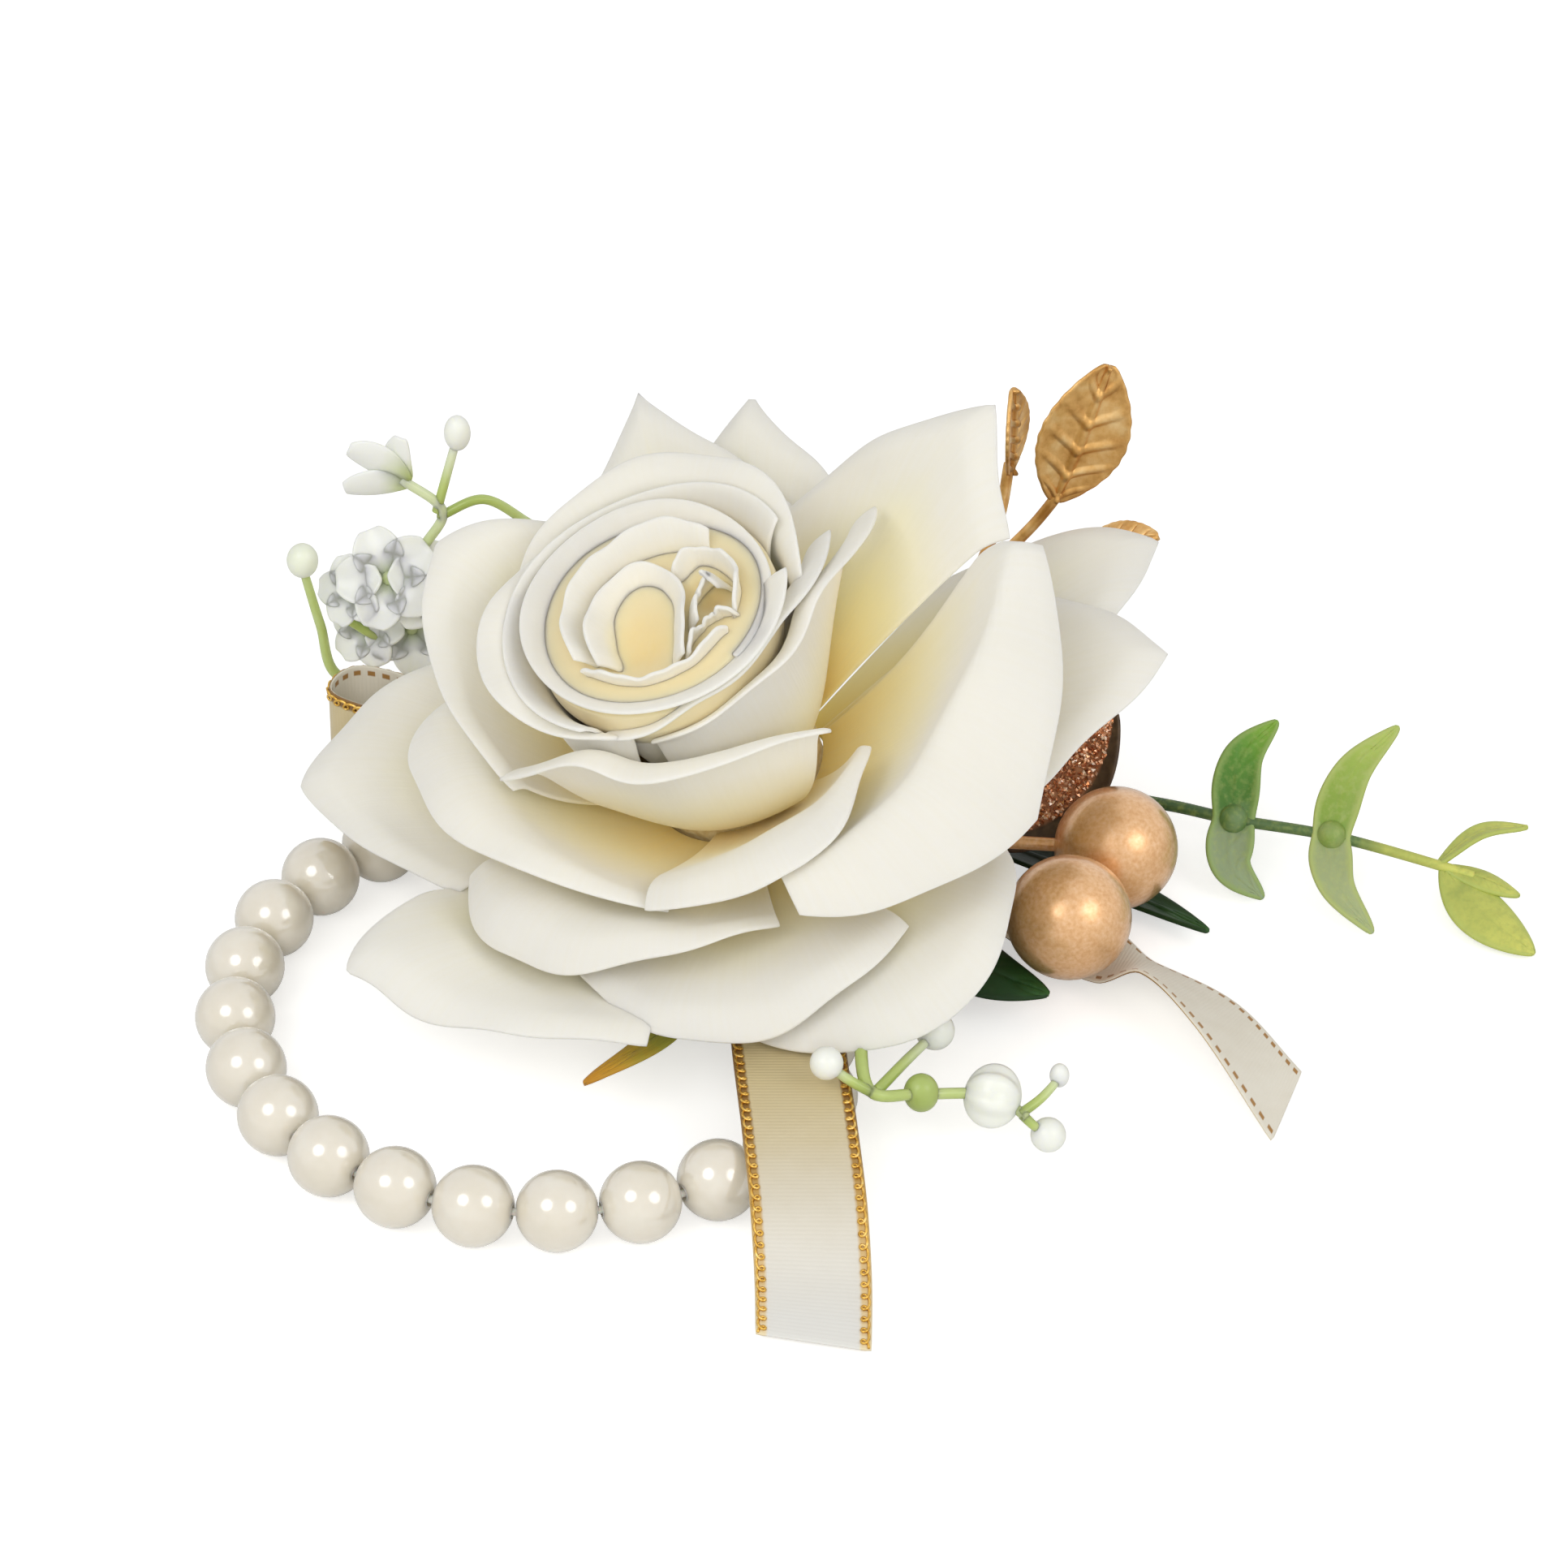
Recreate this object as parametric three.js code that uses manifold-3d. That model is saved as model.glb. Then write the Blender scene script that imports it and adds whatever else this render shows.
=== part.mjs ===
// Wrist corsage: a cream rose with gold, green and white trimmings on a stretch bracelet of pearls.
// Millimetres, +Z up. The origin is the middle of the felt pad's underside, the face that lies on the wrist.
import * as THREE from 'three';
import { mergeVertices } from 'three/addons/utils/BufferGeometryUtils.js';
import Module from 'manifold-3d';

const wasm = await Module();
wasm.setup();

// Fits
const clearance = 0.3;
const weldTolerance = 1e-4;

// Pad under the flower
const feltRadius = 13.5;
const feltThickness = 3;
const discRadius = 12.5;
const discThickness = 4;

// Pearl bracelet
const pearlDiameter = 7.8;
const pearlBore = 1.4;
const pearlGap = 0.15;
const pearlLift = 0.1;
const elasticDiameter = 0.8;
const cordOffset = 3.6;
const anchorMargin = 0.5;
const bareLinkLength = 11.4;
const bareLinkHeading = 167;
const backHeadings = [-170, -163, -156, -150];
const arcFirstHeading = -144;
const arcStep = 14.6;
const arcPearls = 14;
const turnLinkLength = 0.6;
const frontHeadings = [87.4, 93, 94];

// Rose
const roseOffset = new THREE.Vector2(-3.2, 0);
const roseTiltForward = 15.8;
const roseTiltLeft = 17.5;
const petalThickness = 0.5;
const coreRadius = 9;
const coreRise = 7;
const coreFoot = 0.3;
const calyxRadius = 6;
const calyxDepth = 4.85;
const stemRadius = 3;
const petalTuck = 3;
const curlStart = 0.7;
const flareStart = 0.3;

// Bud: one petal strip rolled round the axis, from the heart outwards
const budRoll = { turn: 250, turns: 2.75, lean: [[8, 5], [32, 17]], reach: [31, 35] };

// Petals: turn round the axis, lean from it at base and tip (degrees), reach (mm), half span at base and top,
// drop of the rim at the two sides, sharpness and place of the point, curl of the tip and flare of the
// two sides. Some have their own tuck; one folds its margin down, and the fold fades at its two sides.
const petals = [
  { turn: 78, lean: [40, 25], reach: 36.2, span: [62, 74], drop: [0.12, 0.12], sharp: 3, peak: 0,
    curl: 3, flare: [2, 2] },
  { turn: 188, lean: [40, 23.5], reach: 36, span: [54, 68], drop: [0.14, 0.16], sharp: 2, peak: 0,
    curl: 4, flare: [2, -4], tuck: 1 },
  { turn: 330, lean: [42, 23.5], reach: 33.6, span: [58, 66], drop: [0.14, 0.03], sharp: 1.6, peak: 0.8,
    curl: 3, flare: [0, 20.5], tuck: 2 },
  { turn: 266, lean: [50.5, 27.3], reach: 31.5, span: [42, 56], drop: [0.04, 0.08], sharp: 2, peak: -0.5,
    curl: 4, flare: [15, 9] },
  { turn: 165, lean: [50, 38], reach: 40, span: [42, 44], drop: [0.2, 0.3], sharp: 1.2, peak: -0.4,
    curl: 4, flare: [3, -2] },
  { turn: 46, lean: [52, 51], reach: 47, span: [30, 33], drop: [0.15, 0.55], sharp: 0.95, peak: -0.47,
    curl: 2, flare: [5, -4], tuck: 0 },
  { turn: 217, lean: [60, 47], reach: 35, span: [38, 44], drop: [0.1, 0.22], sharp: 1.8, peak: -0.6,
    curl: 7, flare: [4, 7] },
  { turn: 294, lean: [57, 49], reach: 31.4, span: [32, 36], drop: [0.06, 0.2], sharp: 1.6, peak: 0,
    curl: 6, flare: [3.5, -2], tuck: 0 },
  { turn: 331, lean: [63, 53.5], reach: 43, span: [40, 41], drop: [0.25, 0.08], sharp: 1, peak: 0.89,
    curl: 19, flare: [-2, 1], tuck: 0, fold: [0.8, 0.98], fade: [0.6, 1] },
  { turn: 99, lean: [60, 60], reach: 43, span: [30, 30], drop: [0.34, 0.34], sharp: 0.7, peak: 0,
    curl: 4, flare: [7, 3] },
  { turn: 80, lean: [69, 64], reach: 41.5, span: [28, 30], drop: [0.34, 0.34], sharp: 0.7, peak: 0.1,
    curl: 4, flare: [3, 3] },
  { turn: 181, lean: [70, 65], reach: 44, span: [26, 27], drop: [0.25, 0.28], sharp: 1.2, peak: 0,
    curl: 3, flare: [3, -2] },
  { turn: 248, lean: [70, 58], reach: 35, span: [32, 36], drop: [0.1, 0.24], sharp: 1.8, peak: -0.5,
    curl: 8, flare: [5, 5] },
  { turn: 3, lean: [76, 78], reach: 45, span: [26, 27], drop: [0.3, 0.3], sharp: 1, peak: 0,
    curl: 3, flare: [5, 0] },
  { turn: 22, lean: [84, 84], reach: 48, span: [24, 24], drop: [0.42, 0.34], sharp: 1, peak: 0.2,
    curl: 4, flare: [4, 4] },
  { turn: 140, lean: [70, 66], reach: 33, span: [30, 32], drop: [0.2, 0.2], sharp: 1.6, peak: 0,
    curl: 4, flare: [3, 3] },
  { turn: 233, lean: [80, 66], reach: 47, span: [26, 26], drop: [0.22, 0.2], sharp: 1.2, peak: -0.6,
    curl: 2, flare: [4, 2] },
  { turn: 273, lean: [78, 71], reach: 37, span: [28, 33], drop: [0.18, 0.16], sharp: 1.7, peak: -0.1,
    curl: 4, flare: [-1, 3] },
  { turn: 305, lean: [86, 80], reach: 40, span: [26, 30], drop: [0.14, 0.3], sharp: 1.8, peak: -0.1,
    curl: 4, flare: [3, 3] },
];

// Sepals: turn and lean on the rose, length and half width; the long one's heights are over the disc
const sepals = [
  { turn: 20, lean: 104, length: 16 },
  { turn: 82, lean: 104, length: 16 },
  { turn: 140, lean: 104, length: 14 },
  { turn: 326, lean: 104, length: 16 },
];
const sepalHalfWidth = 2.2;
const sepalThickness = 0.6;
const sepalBend = 6;
const longSepalRoute = [
  [-3.4, -3.6, 2.4], [-8.6, -11, 1.9], [-9.8, -20, 1.2], [-11, -29, 0], [-18.7, -36, -1.4],
];

// Ribbon with a bow loop at the left and a tail at the front and at the right
const ribbonWidth = 10.6;
const ribbonThickness = 0.5;
const tailGap = 0.3;

// Trimmings
const stemDiameter = 1.4;
const ballDiameter = 12.3;
const ballGap = 0.47;
const ballCorner = new THREE.Vector3(26.95, 2.65, 2.55);
const ballRow = new THREE.Vector3(-5.1, -11.7, 0.5).normalize();
const wireSag = 0.4;
const leafThickness = 0.6;
const leafCup = 0.18;
const leafEnd = 0.12;
const goldLeafHalfWidth = 4.5;
const glitterHalfWidth = 5.8;
const eucalyptusHalfWidth = 2.4;
const darkLeafHalfWidth = 3.6;
const collarWall = 0.7;

// Heights and places that follow from the sizes above
const cordHeight = pearlDiameter / 2 + pearlLift;
const pearlTop = pearlDiameter + pearlLift;
const discTop = feltThickness + discThickness;
const rootHeight = discTop + clearance + stemDiameter / 2;
const discRest = discTop + clearance + ribbonThickness / 2;
const ribbonRest = Math.max(pearlTop, discTop) + clearance + ribbonThickness / 2;
const backBall = new THREE.Vector3(1, -1, 1).multiplyScalar(ballDiameter / 2).add(ballCorner);
const frontBall = backBall.clone().addScaledVector(ballRow, ballDiameter + ballGap);

const rad = THREE.MathUtils.degToRad;
const at = (x, y, z) => new THREE.Vector3(x, y, z);

// Materials
function finish(color, roughness, metalness) {
  return new THREE.MeshStandardMaterial({ color, roughness, metalness, side: THREE.FrontSide });
}
const petalCream = () => finish(0xf4f0de, 0.75, 0);
const pearlIvory = () => finish(0xefe9d6, 0.2, 0);
const satinIvory = () => finish(0xefe6d0, 0.45, 0);
const leafGreen = () => finish(0x4d7a3a, 0.5, 0);
const sprayGreen = () => finish(0xa9bf6a, 0.45, 0);
const metalGold = () => finish(0xb98a4a, 0.35, 0.9);

const corsage = new THREE.Group();

function addPart(parent, name, geometry, material) {
  const mesh = new THREE.Mesh(geometry, material);
  mesh.name = name;
  parent.add(mesh);
  return mesh;
}

// Joining and cutting of closed solids
function toSolid(geometry) {
  const bare = new THREE.BufferGeometry();
  bare.setAttribute('position', geometry.attributes.position);
  bare.setIndex(geometry.index);
  const merged = mergeVertices(bare, weldTolerance);
  const corners = merged.index.array;
  const triangles = [];
  for (let i = 0; i < corners.length; i += 3) {
    const [a, b, c] = [corners[i], corners[i + 1], corners[i + 2]];
    if (a !== b && b !== c && c !== a) {
      triangles.push(a, b, c);
    }
  }
  return new wasm.Manifold(new wasm.Mesh({
    numProp: 3,
    vertProperties: Float32Array.from(merged.attributes.position.array),
    triVerts: Uint32Array.from(triangles),
  }));
}

function toGeometry(solid) {
  const mesh = solid.getMesh();
  const geometry = new THREE.BufferGeometry();
  geometry.setAttribute('position', new THREE.BufferAttribute(mesh.vertProperties, 3));
  geometry.setIndex(new THREE.BufferAttribute(mesh.triVerts, 1));
  geometry.computeVertexNormals();
  return geometry;
}

const join = (...pieces) => toGeometry(pieces.map(toSolid).reduce((whole, piece) => whole.add(piece)));
const cut = (piece, tool) => toGeometry(toSolid(piece).subtract(toSolid(tool)));

// Closed shell of even thickness about a surface point(u, v), with u and v from 0 to 1
function shell(point, columns, rows, thickness) {
  const step = 1e-3;
  const front = [];
  const back = [];
  for (let row = 0; row <= rows; row += 1) {
    for (let column = 0; column <= columns; column += 1) {
      const u = column / columns;
      const v = row / rows;
      const alongU = point(Math.min(u + step, 1), v).sub(point(Math.max(u - step, 0), v));
      const alongV = point(u, Math.min(v + step, 1)).sub(point(u, Math.max(v - step, 0)));
      const offset = alongU.cross(alongV).setLength(thickness / 2);
      front.push(point(u, v).add(offset));
      back.push(point(u, v).sub(offset));
    }
  }
  const count = front.length;
  const across = columns + 1;
  const index = [];
  for (let row = 0; row < rows; row += 1) {
    for (let column = 0; column < columns; column += 1) {
      const a = row * across + column;
      const [b, c, d] = [a + 1, a + across + 1, a + across];
      index.push(a, b, c, a, c, d);
      index.push(count + a, count + c, count + b, count + a, count + d, count + c);
    }
  }
  const rim = [];
  for (let column = 0; column < columns; column += 1) rim.push(column);
  for (let row = 0; row < rows; row += 1) rim.push(row * across + columns);
  for (let column = columns; column > 0; column -= 1) rim.push(rows * across + column);
  for (let row = rows; row > 0; row -= 1) rim.push(row * across);
  rim.forEach((a, i) => {
    const b = rim[(i + 1) % rim.length];
    index.push(a, count + a, count + b, a, count + b, b);
  });
  const geometry = new THREE.BufferGeometry().setFromPoints([...front, ...back]);
  geometry.setIndex(index);
  geometry.computeVertexNormals();
  return geometry;
}

// Round rod along a smooth curve through hand-chosen points
function rod(points, diameter, sides = 5, stepLength = 4) {
  const corners = [];
  for (let i = 0; i < sides; i += 1) {
    const turn = 2 * Math.PI * i / sides;
    corners.push(new THREE.Vector2(Math.cos(turn), Math.sin(turn)).multiplyScalar(diameter / 2));
  }
  const path = new THREE.CatmullRomCurve3(points.map((p) => at(...p)));
  const steps = Math.max(2, Math.round(path.getLength() / stepLength));
  const section = new THREE.Shape(corners);
  return new THREE.ExtrudeGeometry(section, { steps, extrudePath: path, bevelEnabled: false });
}

// Ball, stretched along the axes by the given shares
function ball(centre, diameter, stretch = [1, 1, 1], slices = 8) {
  const geometry = new THREE.SphereGeometry(diameter / 2, slices, Math.round(slices * 0.7));
  return geometry.scale(...stretch).translate(...centre);
}

// Leaf along a smooth midrib, its blade across the given direction and a little cupped
function leaf(midrib, across, halfWidth, rows = 6) {
  const path = new THREE.CatmullRomCurve3(midrib.map((p) => at(...p)));
  const side = at(...across).normalize();
  return shell((u, v) => {
    const share = u * 2 - 1;
    const tangent = path.getTangent(v);
    const normal = tangent.clone().cross(side).normalize();
    const blade = normal.clone().cross(tangent).normalize();
    const half = halfWidth * (leafEnd + (1 - leafEnd) * Math.sin(Math.PI * v) ** 0.8);
    const rise = leafCup * half * share * share;
    return path.getPoint(v).addScaledVector(blade, half * share).addScaledVector(normal, -rise);
  }, 4, rows, leafThickness);
}

// Ribbon through stations: centre, direction across, and width there
function ribbon(stations, rows, from = 0, to = 1) {
  const centres = new THREE.CatmullRomCurve3(stations.map((s) => at(...s.centre)));
  const sides = new THREE.CatmullRomCurve3(stations.map((s) => at(...s.across).setLength(s.width / 2)));
  const surface = (u, v) => {
    const share = from + (to - from) * v;
    return centres.getPoint(share).addScaledVector(sides.getPoint(share), u * 2 - 1);
  };
  return shell(surface, 2, rows, ribbonThickness);
}

// One ribbon in two lengths: the root up to the hinge station, and the tail a small gap beyond it
function hingedRibbon(stations, hinge, rootRows, tailRows) {
  const centres = new THREE.CatmullRomCurve3(stations.map((s) => at(...s.centre)));
  const share = hinge / (stations.length - 1);
  const gapShare = tailGap / (centres.getPoint(share + 0.01).distanceTo(centres.getPoint(share)) / 0.01);
  const root = ribbon(stations, rootRows, 0, share - gapShare / 2);
  return [root, ribbon(stations, tailRows, share + gapShare / 2, 1)];
}

// Pad: felt below, card disc above with a groove for the elastic
function buildPad() {
  const felt = new THREE.CylinderGeometry(feltRadius, feltRadius, feltThickness, 36);
  felt.rotateX(Math.PI / 2).translate(0, 0, feltThickness / 2);
  addPart(corsage, 'felt_backing', felt, finish(0xe9e4d6, 0.95, 0));
  const disc = new THREE.CylinderGeometry(discRadius, discRadius, discThickness, 36);
  disc.rotateX(Math.PI / 2).translate(0, 0, feltThickness + discThickness / 2);
  const grooveTop = cordHeight + elasticDiameter / 2 + clearance;
  const grooveWidth = elasticDiameter + 2 * clearance;
  const groove = new THREE.BoxGeometry(grooveWidth, 3 * discRadius, 2 * (grooveTop - feltThickness));
  groove.translate(cordOffset, 0, feltThickness);
  addPart(corsage, 'base_disc', cut(disc, groove), finish(0xf2efe6, 0.8, 0));
}

// Bracelet: the elastic runs straight through each pearl and turns at the corners between them
function buildBracelet() {
  const pitch = pearlDiameter + pearlGap;
  const anchor = feltRadius + anchorMargin;
  const corners = [at(cordOffset, -anchor, cordHeight), at(cordOffset, anchor, cordHeight)];
  const walk = (heading, length) => {
    const last = corners[corners.length - 1];
    corners.push(last.clone().add(at(Math.cos(rad(heading)), Math.sin(rad(heading)), 0).setLength(length)));
  };
  walk(bareLinkHeading, bareLinkLength);
  const arcHeadings = Array.from({ length: arcPearls }, (_, i) => arcFirstHeading + arcStep * i);
  const pearl = pearlGeometry();
  let pearls = 0;
  const thread = (heading) => {
    pearls += 1;
    const start = corners[corners.length - 1].clone();
    walk(heading, pitch);
    const mesh = addPart(corsage, `pearl_${String(pearls).padStart(2, '0')}`, pearl, pearlIvory());
    mesh.position.copy(start).lerp(corners[corners.length - 1], 0.5);
    mesh.rotation.z = rad(heading);
  };
  [...backHeadings, ...arcHeadings].forEach(thread);
  walk((arcHeadings[arcPearls - 1] + frontHeadings[0]) / 2, turnLinkLength);
  frontHeadings.forEach(thread);
  addPart(corsage, 'elastic_cord', cordLoop(corners), finish(0xf5f3ee, 0.4, 0));
}

// Pearl round a bore along X
function pearlGeometry() {
  const boreRadius = pearlBore / 2;
  const mouth = Math.asin(boreRadius / (pearlDiameter / 2));
  const arcSteps = 6;
  const profile = [];
  for (let i = 0; i <= arcSteps; i += 1) {
    const turn = mouth + (Math.PI - 2 * mouth) * i / arcSteps;
    profile.push(new THREE.Vector2(Math.sin(turn), -Math.cos(turn)).multiplyScalar(pearlDiameter / 2));
  }
  profile.push(profile[0].clone());
  return new THREE.LatheGeometry(profile, 12).rotateZ(-Math.PI / 2);
}

// Closed round cord with mitred corners, all at one height
function cordLoop(corners) {
  const sides = 6;
  const points = [];
  const index = [];
  corners.forEach((corner, i) => {
    const before = corners[(i + corners.length - 1) % corners.length];
    const after = corners[(i + 1) % corners.length];
    const arriving = corner.clone().sub(before).normalize();
    const leaving = after.clone().sub(corner).normalize();
    const along = arriving.clone().add(leaving).normalize();
    const outward = at(along.y, -along.x, 0).divideScalar(along.dot(leaving));
    for (let k = 0; k < sides; k += 1) {
      const turn = 2 * Math.PI * k / sides;
      const offset = outward.clone().multiplyScalar(Math.cos(turn)).add(at(0, 0, Math.sin(turn)));
      points.push(corner.clone().addScaledVector(offset, elasticDiameter / 2));
    }
    for (let k = 0; k < sides; k += 1) {
      const here = i * sides;
      const there = ((i + 1) % corners.length) * sides;
      const next = (k + 1) % sides;
      index.push(here + k, there + next, here + next, here + k, there + k, there + next);
    }
  });
  const geometry = new THREE.BufferGeometry().setFromPoints(points);
  geometry.setIndex(index);
  geometry.computeVertexNormals();
  return geometry;
}

// Distance from the rose's base point at which a petal of this lean starts
const coreReach = (lean) => coreRadius + coreRise * Math.cos(rad(lean)) ** 2;
const smooth = (t) => t * t * (3 - 2 * t);
const mix = (pair, t) => pair[0] + (pair[1] - pair[0]) * t;

// Point of the rose: distance from its base point, lean from its axis and turn round it, in degrees
function rosePoint(reach, lean, turn) {
  const out = reach * Math.sin(rad(lean));
  return at(out * Math.cos(rad(turn)), out * Math.sin(rad(turn)), reach * Math.cos(rad(lean)));
}

// A petal's lean runs from base to tip, its tip curls out, its sides flare, and it tucks under its neighbour
function petalGeometry(petal) {
  const start = coreReach(petal.lean[0]);
  const surface = (u, v) => {
    const across = u * 2 - 1;
    const low = across < petal.peak;
    const away = low ? (petal.peak - across) / (1 + petal.peak) : (across - petal.peak) / (1 - petal.peak);
    const rimReach = petal.reach * (1 - petal.drop[low ? 0 : 1] * away ** petal.sharp);
    const reach = start + (rimReach - start) * v;
    const share = (reach - start) / (petal.reach - start);
    const side = across < 0 ? 0 : 1;
    const [bent, bendStart] = petal.fold ? [v, mix(petal.fold, Math.max(0, across))] : [share, curlStart];
    const fade = petal.fade ? 1 - petal.fade[side] * Math.abs(across) : 1;
    const curl = petal.curl * fade * Math.max(0, (bent - bendStart) / (1 - bendStart)) ** 2;
    const sideShare = Math.max(0, (Math.abs(across) - flareStart) / (1 - flareStart));
    const flare = petal.flare[side] * sideShare ** 2 * share;
    const lean = mix(petal.lean, smooth(share)) + curl + flare + (petal.tuck ?? petalTuck) * across;
    return rosePoint(reach, lean, petal.turn + across * mix(petal.span, v));
  };
  return shell(surface, 8, 5, petalThickness);
}

function budGeometry() {
  const surface = (u, v) => {
    const leanBase = mix([budRoll.lean[0][0], budRoll.lean[1][0]], u);
    const leanTip = mix([budRoll.lean[0][1], budRoll.lean[1][1]], u);
    const start = coreReach(leanBase);
    const reach = mix([start, mix(budRoll.reach, u)], v);
    return rosePoint(reach, mix([leanBase, leanTip], smooth(v)), budRoll.turn + 360 * budRoll.turns * u);
  };
  return shell(surface, 40, 4, petalThickness);
}

// Foam heart that the petals are glued to
function coreGeometry() {
  const seat = clearance + petalThickness / 2;
  const profile = [];
  for (let lean = 0; lean <= 90; lean += 15) {
    const reach = coreReach(lean) - seat;
    profile.unshift(new THREE.Vector2(reach * Math.sin(rad(lean)), reach * Math.cos(rad(lean))));
  }
  profile[profile.length - 1].x = 0;
  profile.unshift(new THREE.Vector2(profile[0].x, -coreFoot));
  profile.unshift(new THREE.Vector2(0, -coreFoot));
  return new THREE.LatheGeometry(profile, 20).rotateX(Math.PI / 2);
}

function sepalGeometry(sepal) {
  const start = calyxRadius * 0.6;
  return shell((u, v) => {
    const half = sepalHalfWidth * (0.15 + 0.85 * Math.sin(Math.PI * (0.25 + 0.72 * v)));
    const reach = start + (sepal.length - start) * v;
    const lean = sepal.lean + sepalBend * (1 - v);
    return rosePoint(reach, lean, sepal.turn + (u * 2 - 1) * THREE.MathUtils.radToDeg(half / reach));
  }, 2, 5, sepalThickness);
}

function buildRose() {
  const tilt = new THREE.Euler(rad(roseTiltForward), -rad(roseTiltLeft), 0);
  const axis = at(0, 0, 1).applyEuler(tilt);
  const rose = new THREE.Group();
  const lowRim = calyxDepth * axis.z + stemRadius * Math.hypot(axis.x, axis.y);
  rose.position.set(roseOffset.x, roseOffset.y, discTop + clearance + lowRim);
  rose.rotation.copy(tilt);
  corsage.add(rose);
  addPart(rose, 'rose_core', coreGeometry(), finish(0xf0ead2, 0.9, 0));
  addPart(rose, 'bud_roll', budGeometry(), petalCream());
  petals.forEach((petal, i) => {
    addPart(rose, `petal_${String(i + 1).padStart(2, '0')}`, petalGeometry(petal), petalCream());
  });
  const cupTop = -coreFoot - clearance;
  const cup = new THREE.LatheGeometry([
    new THREE.Vector2(0, -calyxDepth),
    new THREE.Vector2(stemRadius, -calyxDepth),
    new THREE.Vector2(calyxRadius, cupTop),
    new THREE.Vector2(0, cupTop),
  ], 16).rotateX(Math.PI / 2);
  rose.updateMatrixWorld(true);
  const route = longSepalRoute.map(([x, y, height]) => [x, y, discTop + height]);
  const longSepal = leaf(route, [1, -0.5, 0], sepalHalfWidth * 0.9);
  longSepal.applyMatrix4(rose.matrixWorld.clone().invert());
  addPart(rose, 'rose_calyx', join(cup, longSepal, ...sepals.map(sepalGeometry)), leafGreen());
}

// Ribbon: bow loop and roots stay with the flower, the two tails swing from it
function buildRibbon() {
  const [frontRoot, frontTail] = hingedRibbon([
    { centre: [0, -4, discRest], across: [1, 0, 0], width: 4 },
    { centre: [0, -10, ribbonRest], across: [1, 0, 0], width: ribbonWidth * 0.8 },
    { centre: [0, -18, ribbonRest], across: [1, 0, 0], width: ribbonWidth },
    { centre: [0.5, -32, ribbonRest], across: [1, 0, 0], width: ribbonWidth },
    { centre: [1.7, -46.5, ribbonRest], across: [1, 0, 0], width: ribbonWidth },
    { centre: [2.5, -55, 6.4], across: [1, 0, 0], width: ribbonWidth },
    { centre: [2.9, -61, 2.4], across: [1, -0.08, 0], width: ribbonWidth },
    { centre: [2.9, -67.2, 0.7], across: [1, -0.22, 0], width: ribbonWidth },
  ], 4, 10, 8);
  addPart(corsage, 'ribbon_tail_front', frontTail, satinIvory());
  const [rightRoot, rightTail] = hingedRibbon([
    { centre: [0, -5.2, discRest], across: [0, 1, 0], width: 3 },
    { centre: [8, -3.2, discRest], across: [0, 1, 0], width: 3 },
    { centre: [13, -3, discRest], across: [0, 1, 0], width: 3 },
    { centre: [20, -5, 3.2], across: [0, 1, -0.1], width: 7 },
    { centre: [27, -8.4, 1.2], across: [0.2, 1, -0.1], width: 9 },
    { centre: [32, -12, 1.7], across: [0.25, 1, -0.15], width: 10 },
    { centre: [36, -15.8, 3.3], across: [0.2, 0.8, -0.55], width: ribbonWidth },
    { centre: [42, -22.8, 3.3], across: [0.4, 0.85, -0.4], width: ribbonWidth },
    { centre: [48.4, -33.7, 0.8], across: [0.32, 0.95, 0], width: ribbonWidth },
  ], 6, 12, 8);
  addPart(corsage, 'ribbon_tail_right', rightTail, satinIvory());
  const loop = ribbon([
    { centre: [-11.5, 2.6, discRest + 2.25], across: [0, 0, 1], width: 3.6 },
    { centre: [-25, 4, discRest + 3.25], across: [0, 0.1, 1], width: 4.4 },
    { centre: [-38.7, 6.2, discRest + 5.65], across: [0, 0.1, 1], width: 8.8 },
    { centre: [-45.2, 10.4, discRest + 5.65], across: [0, 0.1, 1], width: 8.8 },
    { centre: [-43, 14.6, discRest + 5.45], across: [0, 0.1, 1], width: 8.8 },
    { centre: [-25, 11, discRest + 3.25], across: [0, 0.1, 1], width: 4.4 },
    { centre: [-11.5, 5.6, discRest + 2.25], across: [0, 0, 1], width: 3.6 },
  ], 24);
  const link = ribbon([
    { centre: [-12.2, 4.1, discRest + 0.95], across: [0, 1, 0], width: 4.2 },
    { centre: [-8.8, 0.6, discRest + 0.35], across: [0.7, 0.7, 0], width: 3 },
    { centre: [-5, -3.6, discRest], across: [0.6, 0.8, 0], width: 3 },
    { centre: [1, -5.4, discRest], across: [0, 1, 0], width: 3 },
  ], 6);
  addPart(corsage, 'ribbon_bow', join(loop, link, frontRoot, rightRoot), satinIvory());
}

// Satin ball on a wire that is glued to the disc
function buildBalls() {
  const wire = (centre, root) => {
    const middle = [(root[0] + centre.x) / 2, (root[1] + centre.y) / 2, centre.z - wireSag];
    return rod([[...root, rootHeight], middle, centre.toArray()], stemDiameter);
  };
  const gold = (name, centre, root) => addPart(
    corsage,
    name,
    join(ball(centre.toArray(), ballDiameter, [1, 1, 1], 16), wire(centre, root)),
    finish(0xc79a66, 0.35, 0.6),
  );
  gold('gold_ball_front', frontBall, [9.4, -5.4]);
  gold('gold_ball_back', backBall, [10, -0.3]);
}

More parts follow.
